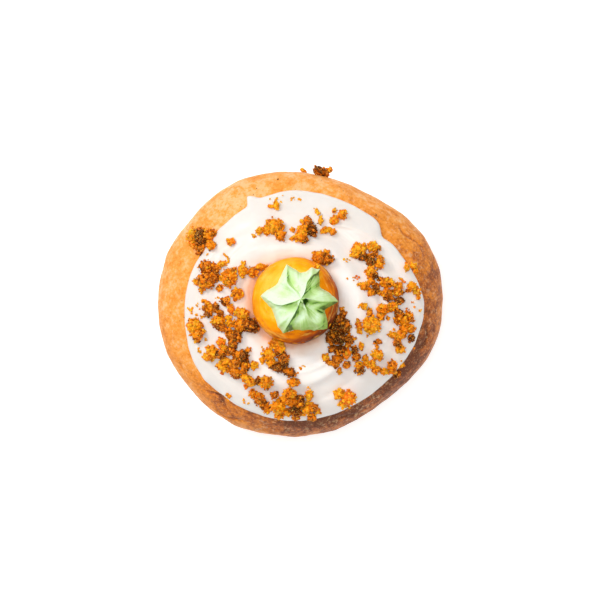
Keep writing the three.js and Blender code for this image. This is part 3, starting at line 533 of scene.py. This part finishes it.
def icing_look():
    look = Look("spread_icing", IOR=1.45, Specular_IOR_Level=0.4, Subsurface_Weight=0.2, Subsurface_Scale=0.0015)
    look.set(look.shader, {"Subsurface Radius": (1.0, 0.85, 0.7)})
    # Painted light: the icing is painted paler on the side turned from the key light and darker on the side towards
    # it, evening out the light.
    key_light_way = (math.cos(KEY_LIGHT_SIDE), math.sin(KEY_LIGHT_SIDE), 0)
    product = look.add("ShaderNodeVectorMath", {0: look.place, 1: key_light_way}, operation="DOT_PRODUCT")
    towards = product.outputs["Value"]
    colour = look.mix(look.range(towards, -0.036, 0.036), srgb(241, 236, 231), srgb(227, 221, 215))
    colour = look.mix(look.range(look.noise(11, 4), 0.35, 0.7), colour, (0.96, 0.95, 0.94, 1), "MULTIPLY")
    # Orange round the dome: partly cream bled into the icing, partly painted orange light reflected from the dome.
    centre = ((DOME_AT[0] - 1.8) * MM, (DOME_AT[1] - 0.8) * MM, (dome_foot + 1) * MM)
    away = look.add("ShaderNodeVectorMath", {0: look.place, 1: centre}, operation="DISTANCE").outputs["Value"]
    wander = look.math("MULTIPLY_ADD", look.noise(5, 2), 0.004, away)
    colour = look.mix(look.range(wander, 0.0212, 0.0165, 0, 0.8), colour, srgb(226, 196, 172))
    colour = look.mix(look.range(wander, 0.0174, 0.0152, 0, 0.8), colour, srgb(220, 146, 88))
    specks = look.range(look.cells(2.2), 0.05, 0.02, 0, 0.7)
    crumbed = look.range(look.noise(8, 2), 0.55, 0.66)
    colour = look.mix(look.math("MULTIPLY", specks, crumbed), colour, srgb(214, 150, 70))
    normal = look.bump(look.noise(3, 3, 0.5), 0.12, 0.5)
    normal = look.bump(look.noise(0.5, 2, 0.5), 0.02, 0.5, normal)
    shine = look.range(look.noise(6, 3), 0.35, 0.65, 0.28, 0.42)
    return look.finish(Base_Color=colour, Normal=normal, Roughness=shine)


def orange_look():
    look = Look("orange_cream", IOR=1.45, Specular_IOR_Level=0.1, Subsurface_Weight=0.12, Subsurface_Scale=0.0015)
    look.set(look.shader, {"Subsurface Radius": (1.0, 0.45, 0.1)})
    parts = look.add("ShaderNodeSeparateXYZ", {"Vector": look.place}).outputs
    level = look.add("ShaderNodeCombineXYZ", {"X": parts["X"], "Y": parts["Y"]}).outputs["Vector"]
    centre = (DOME_AT[0] * MM, DOME_AT[1] * MM, 0)
    away = look.add("ShaderNodeVectorMath", {0: level, 1: centre}, operation="DISTANCE").outputs["Value"]
    across = look.math("MULTIPLY", away, 1.6)
    around = look.math("MULTIPLY", parts["X"], 0.22), look.math("MULTIPLY", parts["Y"], 0.22)
    ringed = look.add("ShaderNodeCombineXYZ", {"X": across, "Y": around[0], "Z": around[1]}).outputs["Vector"]
    strokes = look.noise(1.5, 4, 0.6, ringed)
    # Painted light and shade from the tint: light yellow where the cream is level or faces the key light, deep
    # brown-orange where it slopes away from it, with some random tone.
    painted_shade_share = look.math("MULTIPLY_ADD", look.math("SUBTRACT", look.noise(5, 4), 0.5), 0.5, look.tint_share())
    colour = look.ramp(
        painted_shade_share,
        (0.05, srgb(255, 196, 76)),
        (0.25, srgb(255, 168, 10)),
        (0.45, srgb(240, 132, 0)),
        (0.7, srgb(176, 74, 0)),
        (0.95, srgb(94, 33, 0)),
    )
    colour = look.mix(look.range(strokes, 0.54, 0.68, 0, 0.5), colour, srgb(255, 198, 84))
    colour = look.mix(look.range(strokes, 0.44, 0.32, 0, 0.3), colour, srgb(206, 96, 0))
    colour = look.mix(look.range(look.noise(0.9, 3, 0.6), 0.6, 0.72, 0, 0.5), colour, srgb(190, 88, 0))
    normal = look.bump(strokes, 0.3, 0.6)
    normal = look.bump(look.noise(0.6, 3, 0.6), 0.08, 0.6, normal)
    shine = look.range(look.noise(3, 3), 0.35, 0.65, 0.32, 0.5)
    return look.finish(Base_Color=colour, Normal=normal, Roughness=shine)


def green_look():
    look = Look("green_cream", IOR=1.45, Specular_IOR_Level=0.3, Subsurface_Weight=0.08, Subsurface_Scale=0.001)
    look.set(look.shader, {"Subsurface Radius": (0.7, 1.0, 0.4)})
    # Painted light and shade from the tint: near white where the cream is level or faces the key light, deep green
    # where it slopes away from it and in its creases and holes, with some random tone.
    painted_shade_share = look.math("MULTIPLY_ADD", look.math("SUBTRACT", look.noise(3, 4), 0.5), 0.5, look.tint_share())
    colour = look.ramp(
        painted_shade_share,
        (0.2, srgb(218, 241, 206)),
        (0.5, srgb(194, 226, 148)),
        (0.85, srgb(156, 204, 90)),
        (1.0, srgb(58, 102, 28)),
    )
    colour = look.mix(look.range(look.noise(0.8, 3, 0.6), 0.6, 0.72, 0, 0.35), colour, srgb(160, 204, 110))
    normal = look.bump(look.noise(1.6, 4, 0.6), 0.12, 0.5)
    normal = look.bump(look.noise(0.35, 3, 0.6), 0.03, 0.5, normal)
    shine = look.range(look.noise(2, 3), 0.35, 0.65, 0.36, 0.5)
    return look.finish(Base_Color=colour, Normal=normal, Roughness=shine)


def crumb_look(name, grain):
    look = Look(name, IOR=1.45, Specular_IOR_Level=0.1)
    tint = look.add("ShaderNodeVertexColor", layer_name="tint").outputs["Color"]
    # Darker patches are partly browner crumb, partly painted shade in the pores; the paler patches after them are
    # painted highlights.
    dark = look.range(look.noise(grain, 3, 0.65), 0.54, 0.68, 0, 0.5)
    colour = look.mix(dark, tint, (0.4, 0.24, 0.14, 1), "MULTIPLY")
    painted_highlight = look.range(look.noise(grain * 0.8, 2, 0.6), 0.55, 0.65, 0, 0.6)
    colour = look.mix(painted_highlight, colour, srgb(255, 202, 96))
    normal = look.bump(look.noise(grain * 0.8, 3, 0.65), 0.16, 0.7)
    normal = look.bump(look.cells(grain), 0.1, 0.5, normal)
    return look.finish(Base_Color=colour, Normal=normal, Roughness=0.42)


# Bun

BUN_SEGMENTS = 390
# How browned and shaded the crust is painted, every 30 degrees, on the side and higher up: partly real browning,
# partly painted shade on the side turned from the key light and below the icing's edge there.
BROWNING_AND_SHADE_SIDE = [0.58, 0.46, 0.3, 0.1, 0.12, 0.13, 0.28, 0.27, 0.4, 0.62, 0.78, 0.75]
BROWNING_AND_SHADE_TOP = [0.84, 0.48, 0.36, 0.1, 0.12, 0.16, 0.26, 0.3, 0.6, 1.0, 1.04, 0.95]
BUN_CREASES = [  # angle from and to, share of the way up the upper half, how far it wanders, depth, width
    (22, 40, 0.46, 0.05, 0.7, 0.6), (27, 36, 0.6, 0.06, 0.5, 0.5), (218, 240, 0.5, 0.06, 0.7, 0.5),
    (228, 246, 0.36, 0.07, 0.6, 0.5), (282, 304, 0.42, 0.06, 0.5, 0.6), (334, 352, 0.5, 0.05, 0.5, 0.6),
    (12, 22, 0.3, 0.06, 0.3, 0.6), (40, 52, 0.34, 0.04, 0.3, 0.6), (202, 214, 0.44, 0.05, 0.3, 0.6),
]  # fmt: skip


def make_bun():
    angles = TURN * np.arange(BUN_SEGMENTS) / BUN_SEGMENTS
    lowest = -math.asin((BUN_WAIST / BUN_DEPTH) ** (BUN_POWER / 2))
    tilts = np.concatenate([lowest * np.linspace(1, 0, 44)[:-1], TURN / 4 * np.linspace(0, 1, 100)[:-1]])
    radius = round_circle(BUN_RADII, angles)
    out = np.cos(tilts)[:, None] ** (2 / BUN_POWER) * radius
    depth = np.where(tilts < 0, -BUN_DEPTH, BUN_CROWN - BUN_WAIST)
    up = (depth * np.abs(np.sin(tilts)) ** (2 / BUN_POWER))[:, None] + 0 * out
    x, y = out * np.cos(angles), out * np.sin(angles)
    z = BUN_WAIST + up + np.where(up > 0, bun_swell(x, y, out / radius), 0)
    points = np.stack([x, y, z], axis=-1)
    relief = 0.3 * noise(points, 13, 1) + 0.24 * noise(points, 5.5, 2) + 0.07 * noise(points, 2, 3)
    wrinkled = points * np.array([1, 1, 0.45])
    relief += 0.07 * np.abs(noise(wrinkled, 1.3, 4)) * smooth(noise(points, 10, 5), 0, 0.5) * -1.5
    turned = angles / DEGREE
    rise = np.clip(up / (BUN_CROWN - BUN_WAIST), 0, 1)
    creased = np.zeros_like(relief)
    for start, end, share, wander, deep, width in BUN_CREASES:
        along = np.clip((turned - start) / (end - start), 0, 1)
        line = share + wander * np.sin(along * 7 + start)
        ends = np.sin(along * math.pi)
        off = (rise - line) * (BUN_CROWN - BUN_WAIST) * 1.3
        creased += deep * ends * np.exp(-((off / width) ** 2))
    relief = (relief - creased) * smooth(z, 0, 3)
    points += outward(points) * relief[..., None]
    floor_rings = [points[:1] * [s, s, 0] for s in (0.05, 0.35, 0.7)]
    rings = np.concatenate([*floor_rings, points])
    higher = smooth(rings[..., 2], 21, 28)
    browned_and_shaded = round_circle(BROWNING_AND_SHADE_SIDE, angles) * (1 - higher) + round_circle(BROWNING_AND_SHADE_TOP, angles) * higher
    browned_and_shaded += 0.15 * (1 - smooth(rings[..., 2], 4, 14))
    # Painted shade in the creases.
    browned_and_shaded[len(floor_rings):] += 0.5 * creased
    return ring_piece("bun_crust", rings, dough_look(), ["bun"], browned_and_shaded)


# Icing

ICING_SEGMENTS = 480


def make_icing():
    angles = TURN * np.arange(ICING_SEGMENTS) / ICING_SEGMENTS
    edge = icing_edge(angles)
    edge_noise = noise(np.stack([30 * np.cos(angles), 30 * np.sin(angles), 0 * angles], axis=-1), 3.2, 8)
    edge = edge + 0.22 * edge_noise
    lip = np.linspace(0, 1, 20)
    tops = np.concatenate([np.linspace(1, 0.3, 120)[1:], [0.2, 0.1, 0.02]])
    reach = np.concatenate([[0.02, 0.4, 0.8, 0.95], np.ones(20), tops])
    over = np.concatenate([np.zeros(4), np.sin(math.pi * lip), np.zeros(len(tops))])
    lift = np.concatenate([np.zeros(4), (1 - np.cos(math.pi * lip)) / 2, np.ones(len(tops))])
    out = reach[:, None] * (edge - ICING_LIP) + ICING_LIP * over[:, None]
    x, y = out * np.cos(angles), out * np.sin(angles)
    thin = 0.55 * smooth(out / edge, 0.9, 0.99) * (0.6 + 0.4 * edge_noise)
    top = icing_top(x, y) + fine_marks(x, y) - thin
    low = bun_top(x, y) - ICING_ROOT
    points = np.stack([x, y, low + (top - low) * lift[:, None]], axis=-1)
    return ring_piece("icing_coat", points, icing_look(), ["icing"])


# Dome

DOME_PITS = [  # angle, share of the way up, radius, depth
    (-92, 0.16, 1.0, 0.7), (-104, 0.1, 1.3, 0.6), (-80, 0.2, 0.8, 0.5), (-112, 0.3, 0.7, 0.4), (232, 0.2, 0.6, 0.4),
    (205, 0.36, 0.45, 0.3), (214, 0.5, 0.4, 0.3), (-60, 0.3, 0.7, 0.35), (150, 0.6, 0.4, 0.2),
]  # fmt: skip


def make_dome():
    segments = 300
    angles = TURN * np.arange(segments) / segments
    lowest = -math.asin(((DOME_WAIST + DOME_ROOT) / DOME_DEPTH) ** (DOME_POWER / 2))
    tilts = np.concatenate([lowest * np.linspace(1, 0, 24)[:-1], TURN / 4 * np.linspace(0, 1, 70)[:-1]])
    rise = DOME_HEIGHT - DOME_WAIST
    out = np.cos(tilts)[:, None] ** (2 / DOME_POWER) * DOME_RADIUS + 0 * angles
    depth = np.where(tilts < 0, -DOME_DEPTH, rise)
    up = (depth * np.abs(np.sin(tilts)) ** (2 / DOME_POWER))[:, None] + 0 * out
    points = np.stack([out * np.cos(angles), out * np.sin(angles), up], axis=-1)
    round_it = np.cos(angles) * 2.2 + 0 * out, np.sin(angles) * 2.2 + 0 * out
    spread = np.stack([*round_it, up / 0.9 + angles / TURN], axis=-1)
    relief = 0.16 * noise(points, 7, 1) + 0.1 * noise(points, 3, 2) + 0.1 * noise(spread, 1, 3)
    relief += 0.03 * noise(points, 1.1, 4)
    for at, share, radius, deep in DOME_PITS:
        tilt = math.asin(min(1, share))
        middle = np.array([
            DOME_RADIUS * math.cos(tilt) * math.cos(at * DEGREE),
            DOME_RADIUS * math.cos(tilt) * math.sin(at * DEGREE),
            rise * share,
        ])
        off = points - middle
        off[..., 2] *= 1.6
        relief -= deep * np.exp(-((np.linalg.norm(off, axis=-1) / radius) ** 2))
    points += outward(points) * relief[..., None]
    points += [*DOME_AT, dome_foot + DOME_WAIST]
    # The tint holds painted shade: darker where the cream slopes away from the key light.
    return ring_piece("dome_cream", points, orange_look(), ["dome"], slope_and_painted_shade(points, 0.3))


def dome_top(x, y):
    """Height of the dome's surface, or of nothing beside it."""
    share = np.hypot(x - DOME_AT[0], y - DOME_AT[1]) / DOME_RADIUS
    top = dome_foot + DOME_WAIST + crown(np.minimum(share, 1), DOME_HEIGHT - DOME_WAIST, DOME_POWER)
    return np.where(share < 1, top, -100)


# Rosette

# Dents and bulges: angle and distance from the peak, length outwards, width, and depth, which is negative for a
# bulge.
DENTS = [
    (117, 8.0, 4.5, 1.4, 1.3), (157, 6.0, 5.5, 1.7, 1.0),
    (104, 4.3, 0.35, 0.35, 0.4), (120, 8.8, 0.4, 0.4, 0.3), (312, 8.6, 4.0, 2.2, -0.7), (249, 10.9, 0.35, 0.35, 0.3),
    (222, 6.5, 4.5, 1.3, 0.5), (272, 8.0, 5.0, 1.6, -0.8), (30, 6.0, 5.0, 1.3, 0.5),
    (300, 10.4, 0.5, 2.2, -0.35),
    (84, 6.5, 4.0, 1.2, 0.4), (252, 8.6, 4.5, 1.2, 0.5), (231, 9.0, 4.5, 0.9, -0.6), (68, 9.2, 3.5, 0.8, -0.8),
    (54, 9.0, 4.0, 1.2, 0.9),
]  # fmt: skip
HOLES = [(-38, 2.5, 1.5, 0.4, 2.2), (-35, 7.2, 2.0, 0.3, 1.2)]  # as above, but straight down
# Creases close beside a ridge: which ridge, distance to its side, width, depth, and shares of the way out between
# which each runs. A ridge's crest is drawn up as a thin edge of the height and half width after them.
CREASES = [
    (0, -1.8, 1.3, 0.9, 0.1, 0.8), (1, -2.4, 2.2, 0.8, 0.1, 0.9), (2, -1.3, 0.8, 0.8, 0.3, 0.95),
    (3, 1.8, 1.5, 1.1, 0.15, 0.95), (4, 1.8, 1.3, 0.9, 0.25, 0.85), (5, 1.2, 0.9, 0.7, 0.25, 0.9),
]  # fmt: skip
CREST_EDGE, CREST_WIDTH = 0.24, 0.5
FOOT_FLARE, FOOT_HEIGHT = 0.12, 0.6  # thin rim where the cream meets the dome
HOLLOW_SHADE = 0.26  # how much painted shade deepens the green in a dent or crease 1 mm deep


def ridge_angle(ridge, share):
    """The angle of a ridge at a share of the way out from the peak to its tip."""
    tip, middle, inner = RIDGES[ridge][:3]
    near, far = smooth(share, *BEND_INNER), smooth(share, *BEND_OUTER)
    return DEGREE * (inner + (middle - inner) * near + (tip - middle) * far)


def rosette_rings(places, shares):
    """Angles and reaches of the star at places round it, counted in ridges, and shares of the way out."""
    angle = np.zeros((len(shares), len(places)))
    reach = np.zeros_like(angle)
    for i, place in enumerate(places):
        first = int(place) % len(RIDGES)
        across = place - int(place)
        after = (first + 1) % len(RIDGES)
        start = ridge_angle(first, shares)
        end = ridge_angle(after, shares) + (TURN if after == 0 else 0)
        hollow_at, hollow = RIDGES[first][4:]
        before = across < hollow_at
        tip = RIDGES[first if before else after][3]
        height = 1 - across / hollow_at if before else (across - hollow_at) / (1 - hollow_at)
        deep = hollow * (1 - ROSETTE_PINCH * (1 - shares))
        reach[:, i] = deep + (tip - deep) * height**RIDGE_SHARPNESS
        angle[:, i] = start + (end - start) * across
    return angle, reach


def dented(x, y, dents):
    """Depth of dents at places given from the peak."""
    depth = np.zeros_like(x)
    for at, away, length, width, deep in dents:
        c, s = math.cos(at * DEGREE), math.sin(at * DEGREE)
        along, across = x * c + y * s - away, y * c - x * s
        depth += deep * np.exp(-((along / length * 2) ** 2) - (across / width) ** 2)
    return depth


def make_rosette():
    per_ridge = 64
    step = np.linspace(0, 1, per_ridge, endpoint=False)
    places = np.concatenate([i + step for i in range(len(RIDGES))])
    shares = np.concatenate([[0.02, 0.5, 0.9], np.sin(np.linspace(TURN / 4, 0, 96)[:-1])])
    lift = np.zeros(len(shares))
    lift[3:] = WALL_HEIGHT * (1 - shares[3:] ** WALL_SQUARE) ** WALL_POWER
    lift[3:] += CONE_HEIGHT * (1 - shares[3:]) ** CONE_POWER
    angle, reach = rosette_rings(places, shares)
    out = reach * shares[:, None]
    x, y = out * np.cos(angle), out * np.sin(angle)
    at_x, at_y = ROSETTE_AT[0] + x, ROSETTE_AT[1] + y
    droop = ROSETTE_DROOP * (out / DOME_RADIUS) ** 2
    z = dome_foot + DOME_HEIGHT - droop + lift[:, None]
    z[:3] = np.minimum(z[:3], dome_top(at_x[:3], at_y[:3]) - 0.4)
    points = np.stack([at_x, at_y, z], axis=-1)
    folds = np.stack([3.2 * np.cos(angle), 3.2 * np.sin(angle), 0.05 * out], axis=-1)
    relief = 0.07 * noise(points, 2.2, 1) + 0.03 * noise(points, 0.8, 2)
    relief += 0.09 * noise(folds * 4, 1, 3) * smooth(shares, 0.2, 0.6)[:, None]
    relief -= dented(x, y, DENTS)
    relief += FOOT_FLARE * np.exp(-((lift[:, None] / FOOT_HEIGHT) ** 2))
    for ridge, side, width, deep, start, end in CREASES:
        turned = (angle - ridge_angle(ridge, shares)[:, None] + TURN / 2) % TURN - TURN / 2
        off = out * turned
        run = smooth(shares, start, start + 0.2) * (1 - smooth(shares, end - 0.2, end))
        relief -= deep * run[:, None] * np.exp(-(((off - side) / width) ** 2))
        drawn = smooth(out, 1, 4) * (1 - smooth(shares, end - 0.2, end))[:, None]
        relief += CREST_EDGE * drawn * np.exp(-((off / CREST_WIDTH) ** 2))
    points[3:] += (outward(points) * relief[..., None])[3:]
    holes = dented(x, y, HOLES)
    points[3:, :, 2] -= holes[3:]
    # Painted shade: darker where the cream slopes away from the key light, in dents and creases, and in the holes.
    painted_shade_shares = slope_and_painted_shade(points, 0.2) + HOLLOW_SHADE * np.clip(-relief, 0, 1.5) + 0.4 * holes
    return ring_piece("rosette_cream", points, green_look(), ["rosette"], painted_shade_shares)


# Crumbs


def ground_at(x, y):
    """Height of whatever lies uppermost below a crumb."""
    angle, away = np.arctan2(y, x), np.hypot(x, y)
    ground = np.where(away < icing_edge(angle) - 0.6, icing_top(x, y), bun_top(x, y))
    return np.maximum(ground, dome_top(x, y) - 0.5)


def ball(level):
    """Vertices and faces of a ball of radius 1, from an icosahedron split that many times."""
    shape = bmesh.new()
    bmesh.ops.create_icosphere(shape, subdivisions=level + 1, radius=1)
    vertices = np.array([v.co for v in shape.verts])
    faces = np.array([[v.index for v in f.verts] for f in shape.faces])
    shape.free()
    return vertices, faces


def spins(count):
    """Random rotations."""
    turns = random.normal(size=(count, 4))
    w, x, y, z = (turns / np.linalg.norm(turns, axis=1, keepdims=True)).T
    return np.array([
        [1 - 2 * (y * y + z * z), 2 * (x * y - z * w), 2 * (x * z + y * w)],
        [2 * (x * y + z * w), 1 - 2 * (x * x + z * z), 2 * (y * z - x * w)],
        [2 * (x * z - y * w), 2 * (y * z + x * w), 1 - 2 * (x * x + y * y)],
    ]).transpose(2, 0, 1)  # fmt: skip


def many(shape, places, sizes, roughness):
    """Copies of a ball at places, each of its own size along three axes, turned and made rough at random."""
    vertices, faces = shape
    copies = vertices[None] * (1 + roughness * random.normal(size=(len(places), len(vertices), 1)))
    copies = copies * sizes[:, None, :]
    copies = np.einsum("nij,nvj->nvi", spins(len(places)), copies) + places[:, None, :]
    offsets = np.arange(len(places))[:, None, None] * len(vertices)
    return copies.reshape(-1, 3), (faces[None] + offsets).reshape(-1, 3)


TOAST = [  # crumb colours, from brown at 0 to golden at 1, and orange above that
    (0.0, srgb(92, 36, 0)), (0.3, srgb(178, 82, 0)), (0.6, srgb(248, 131, 0)), (0.85, srgb(255, 156, 4)),
    (1.0, srgb(255, 182, 30)), (1.12, srgb(248, 120, 4)),
]  # fmt: skip


def toasted(share):
    """The crumb colour at a share of the way from brown to golden."""
    shares, colours = [s for s, _ in TOAST], np.array([c for _, c in TOAST])
    return np.stack([np.interp(share, shares, channel) for channel in colours.T], axis=-1)


def clump_cores():
    """Each clump as an oval: middle, half sizes, heading as cosine and sine, and colour."""
    x, y, length, width, heading, tone = np.array(CLUMPS).T
    height = np.minimum(4.2, CLUMP_STEEPNESS * np.sqrt(length * width) + CLUMP_LEAST)
    half = np.column_stack([length / 2, width / 2, (height + CLUMP_SINK) / 2])
    middle = np.column_stack([x, y, ground_at(x, y) + (height - CLUMP_SINK) / 2])
    turned = heading * DEGREE
    return middle, half, np.column_stack([np.cos(turned), np.sin(turned)]), tone


def headed(offsets, heading):
    """Offsets along and across a clump, turned to its heading."""
    along, across, up = np.moveaxis(offsets, -1, 0)
    c, s = np.moveaxis(heading, -1, 0)
    return np.stack([along * c - across * s, along * s + across * c, up], axis=-1)


def make_cores(middle, half, heading, tone):
    """The clumps' cores, craggy, with painted shade in their hollows."""
    large = half[:, 0] * half[:, 1] > 2
    parts, triangles, tints, used = [], [], [], 0
    for shape, chosen in ((ball(3), large), (ball(2), ~large)):
        at = middle[chosen, None] + headed(shape[0][None] * half[chosen, None] * 0.9, heading[chosen, None])
        crags = 0.3 * noise(at, 1.4, 1) + 0.24 * noise(at, 0.65, 2)
        parts.append((at + shape[0][None] * crags[..., None]).reshape(-1, 3))
        share = tone[chosen, None] + 0.45 * noise(at, 2.2, 5) + 0.35 * noise(at, 0.8, 6)
        share = np.where(tone[chosen, None] > 1, 1.12 + 0.15 * noise(at, 0.8, 6), np.clip(share, 0, 1))
        # Painted shade: the tint is darkened in the crags' hollows, and more on darker clumps.
        hollow_shade = 0.2 + 0.35 * np.clip(tone[chosen, None], 0, 1)
        hollow_shade = hollow_shade + (1 - hollow_shade) * smooth(crags, -0.28, 0.12)
        tints.append((toasted(share) * np.stack([hollow_shade, hollow_shade, hollow_shade, 1 + 0 * hollow_shade], axis=-1)).reshape(-1, 4))
        starts = used + np.arange(chosen.sum())[:, None, None] * len(shape[0])
        triangles.append((shape[1][None] + starts).reshape(-1, 3))
        used += len(parts[-1])
    vertices, faces, tints = np.concatenate(parts), np.concatenate(triangles), np.concatenate(tints)
    look = crumb_look("crumb_core", 0.5)
    make_piece("crumb_cores", vertices, faces.tolist(), look, ["icing", "bun"], tints)
    print("crumb_cores", len(CLUMPS), "clumps", len(faces), "triangles")


def grains_on_cores(middle, half, heading, tone):
    """Places, radii and colours of grains over the upper side of each core, clear of the cores beside it."""
    places, sizes, toast = [], [], []
    for index, size in enumerate(half):
        count = int(GRAINS * TURN * size[0] * (size[1] + size[2]) / 2)
        way = random.normal(size=(count, 3))
        way /= np.linalg.norm(way, axis=1, keepdims=True)
        way[:, 2] = np.where(way[:, 2] < -0.2, -way[:, 2], way[:, 2])
        at = middle[index] + headed(way * size * random.uniform(0.82, 1.12, (count, 1)), heading[index])
        past = at[:, None] - middle[None]
        c, s = heading.T
        along, across = past[..., 0] * c + past[..., 1] * s, past[..., 1] * c - past[..., 0] * s
        off = np.stack([along, across, past[..., 2]], axis=-1)
        inside = np.sum((off / half[None] / 0.8) ** 2, axis=2) < 1
        inside[:, index] = False
        kept = ~inside.any(axis=1) & (at[:, 2] > ground_at(at[:, 0], at[:, 1]) - 0.1)
        places.append(at[kept])
        sizes.append(random.uniform(*GRAIN_RADII, kept.sum()) * (0.7 + 0.3 * min(1, size[1] / 1.5)))
        share = tone[index] + 0.4 * noise(at[kept], 2.2, 9) + 0.25 * random.normal(size=kept.sum())
        toast.append(np.clip(share, 1.0, 1.2) if tone[index] > 1 else np.clip(share, 0, 1))
    return np.concatenate(places), np.concatenate(sizes), np.concatenate(toast)


def loose_grains(heading):
    """Places, radii and colours of the loose bits, and of a little dust round the clumps."""
    rows = []
    for x, y, size, tone in BITS:
        for dx, dy in random.normal(size=(max(1, int(size * size * 2.6)), 2)) * size * 0.22:
            shade = tone + 0.06 + 0.08 * random.normal()
            rows.append((x + dx, y + dy, random.uniform(0.22, 0.26 + 0.12 * size), min(shade, max(1, tone))))
    for (x, y, length, width, _, tone), turned in zip(CLUMPS, heading):
        for _ in range(int(length * width * DUST)):
            angle, out = random.uniform(0, TURN), random.uniform(0.95, 1.25)
            offset = np.array([out * length / 2 * math.cos(angle), out * width / 2 * math.sin(angle), 0])
            dx, dy, _ = headed(offset, turned)
            rows.append((x + dx, y + dy, random.uniform(0.1, 0.26), random.uniform(0.75, 1)))
    x, y, size, tone = np.array(rows).T
    kept = np.hypot(x, y) < round_circle(BUN_RADII, np.arctan2(y, x)) - 0.3
    places = np.column_stack([x, y, ground_at(x, y) + 0.3 * size])
    return places[kept], size[kept], np.clip(tone, 0, 1.2)[kept]


def make_crumbs():
    middle, half, heading, tone = clump_cores()
    make_cores(middle, half, heading, tone)
    sets = grains_on_cores(middle, half, heading, tone), loose_grains(heading)
    places, sizes, toast = (np.concatenate(both) for both in zip(*sets))
    grain = ball(1)
    for shade, least, most in GRAIN_SHADES:
        name = f"crumb_grains_{shade}"
        chosen = (toast > least) & (toast <= most)
        count = chosen.sum()
        squash = random.uniform(0.65, 1.35, (count, 3))
        vertices, faces = many(grain, places[chosen], sizes[chosen, None] * squash, 0.15)
        tints = toasted(toast[chosen])
        tints[:, :3] = np.clip(tints[:, :3] * random.uniform(0.68, 1.08, (count, 1)), 0, 1)
        tints = np.repeat(tints, len(grain[0]), axis=0)
        make_piece(name, vertices, faces.tolist(), crumb_look(name, 0.4), ["icing", "bun"], tints)
        print(name, count, "grains", len(faces), "triangles")


make_bun()
make_icing()
make_dome()
make_rosette()
make_crumbs()

# Floor, light and camera


def plain(name, colour, glow=0.0):
    look = Look(name, Roughness=0.8, Specular_IOR_Level=0.1)
    return look.finish(Base_Color=colour, Emission_Color=colour, Emission_Strength=glow)


def make_stage():
    mesh = bpy.data.meshes.new("floor")
    half = 3.0
    corners = [(-half, -half, 0), (half, -half, 0), (half, half, 0), (-half, half, 0)]
    mesh.from_pydata(corners, [], [(0, 1, 2, 3)])
    mesh.materials.append(plain("pale_floor", (0.7, 0.7, 0.7, 1), 0.8))
    floor = bpy.data.objects.new("floor", mesh)
    bpy.context.collection.objects.link(floor)


def make_light(name, azimuth, elevation, distance, size, power, colour):
    light = bpy.data.lights.new(name, "AREA")
    light.shape = "DISK"
    light.size = size
    light.energy = power
    light.color = colour
    lamp = bpy.data.objects.new(name, light)
    a, e = azimuth * DEGREE, elevation * DEGREE
    lamp.location = Vector((math.cos(a) * math.cos(e), math.sin(a) * math.cos(e), math.sin(e))) * distance
    lamp.rotation_mode = "QUATERNION"
    lamp.rotation_quaternion = lamp.location.to_track_quat("Z", "Y")
    bpy.context.collection.objects.link(lamp)


def make_world(strength):
    world = bpy.data.worlds.new("soft_room")
    world.use_nodes = True
    background = world.node_tree.nodes["Background"]
    background.inputs["Color"].default_value = (1, 1, 1, 1)
    background.inputs["Strength"].default_value = strength
    bpy.context.scene.world = world


def make_camera():
    camera = bpy.data.objects.new("camera", bpy.data.cameras.new("camera"))
    frame_width, distance, level = 0.195, 0.9, 0.02
    camera.data.lens = 36 * distance / frame_width
    camera.data.sensor_width = 36
    camera.location = (0.16 * MM, 1.14 * MM, level + distance)
    camera.data.clip_start, camera.data.clip_end = 0.05, 20
    bpy.context.collection.objects.link(camera)
    bpy.context.scene.camera = camera


make_stage()
make_light("key", 138, 46, 1.2, 0.45, 6.6, (1.0, 0.98, 0.95))
make_light("overhead", 120, 87, 1.6, 1.0, 15.4, (1.0, 1.0, 1.0))
make_world(0.32)
make_camera()
bpy.context.scene.view_settings.view_transform = "Standard"
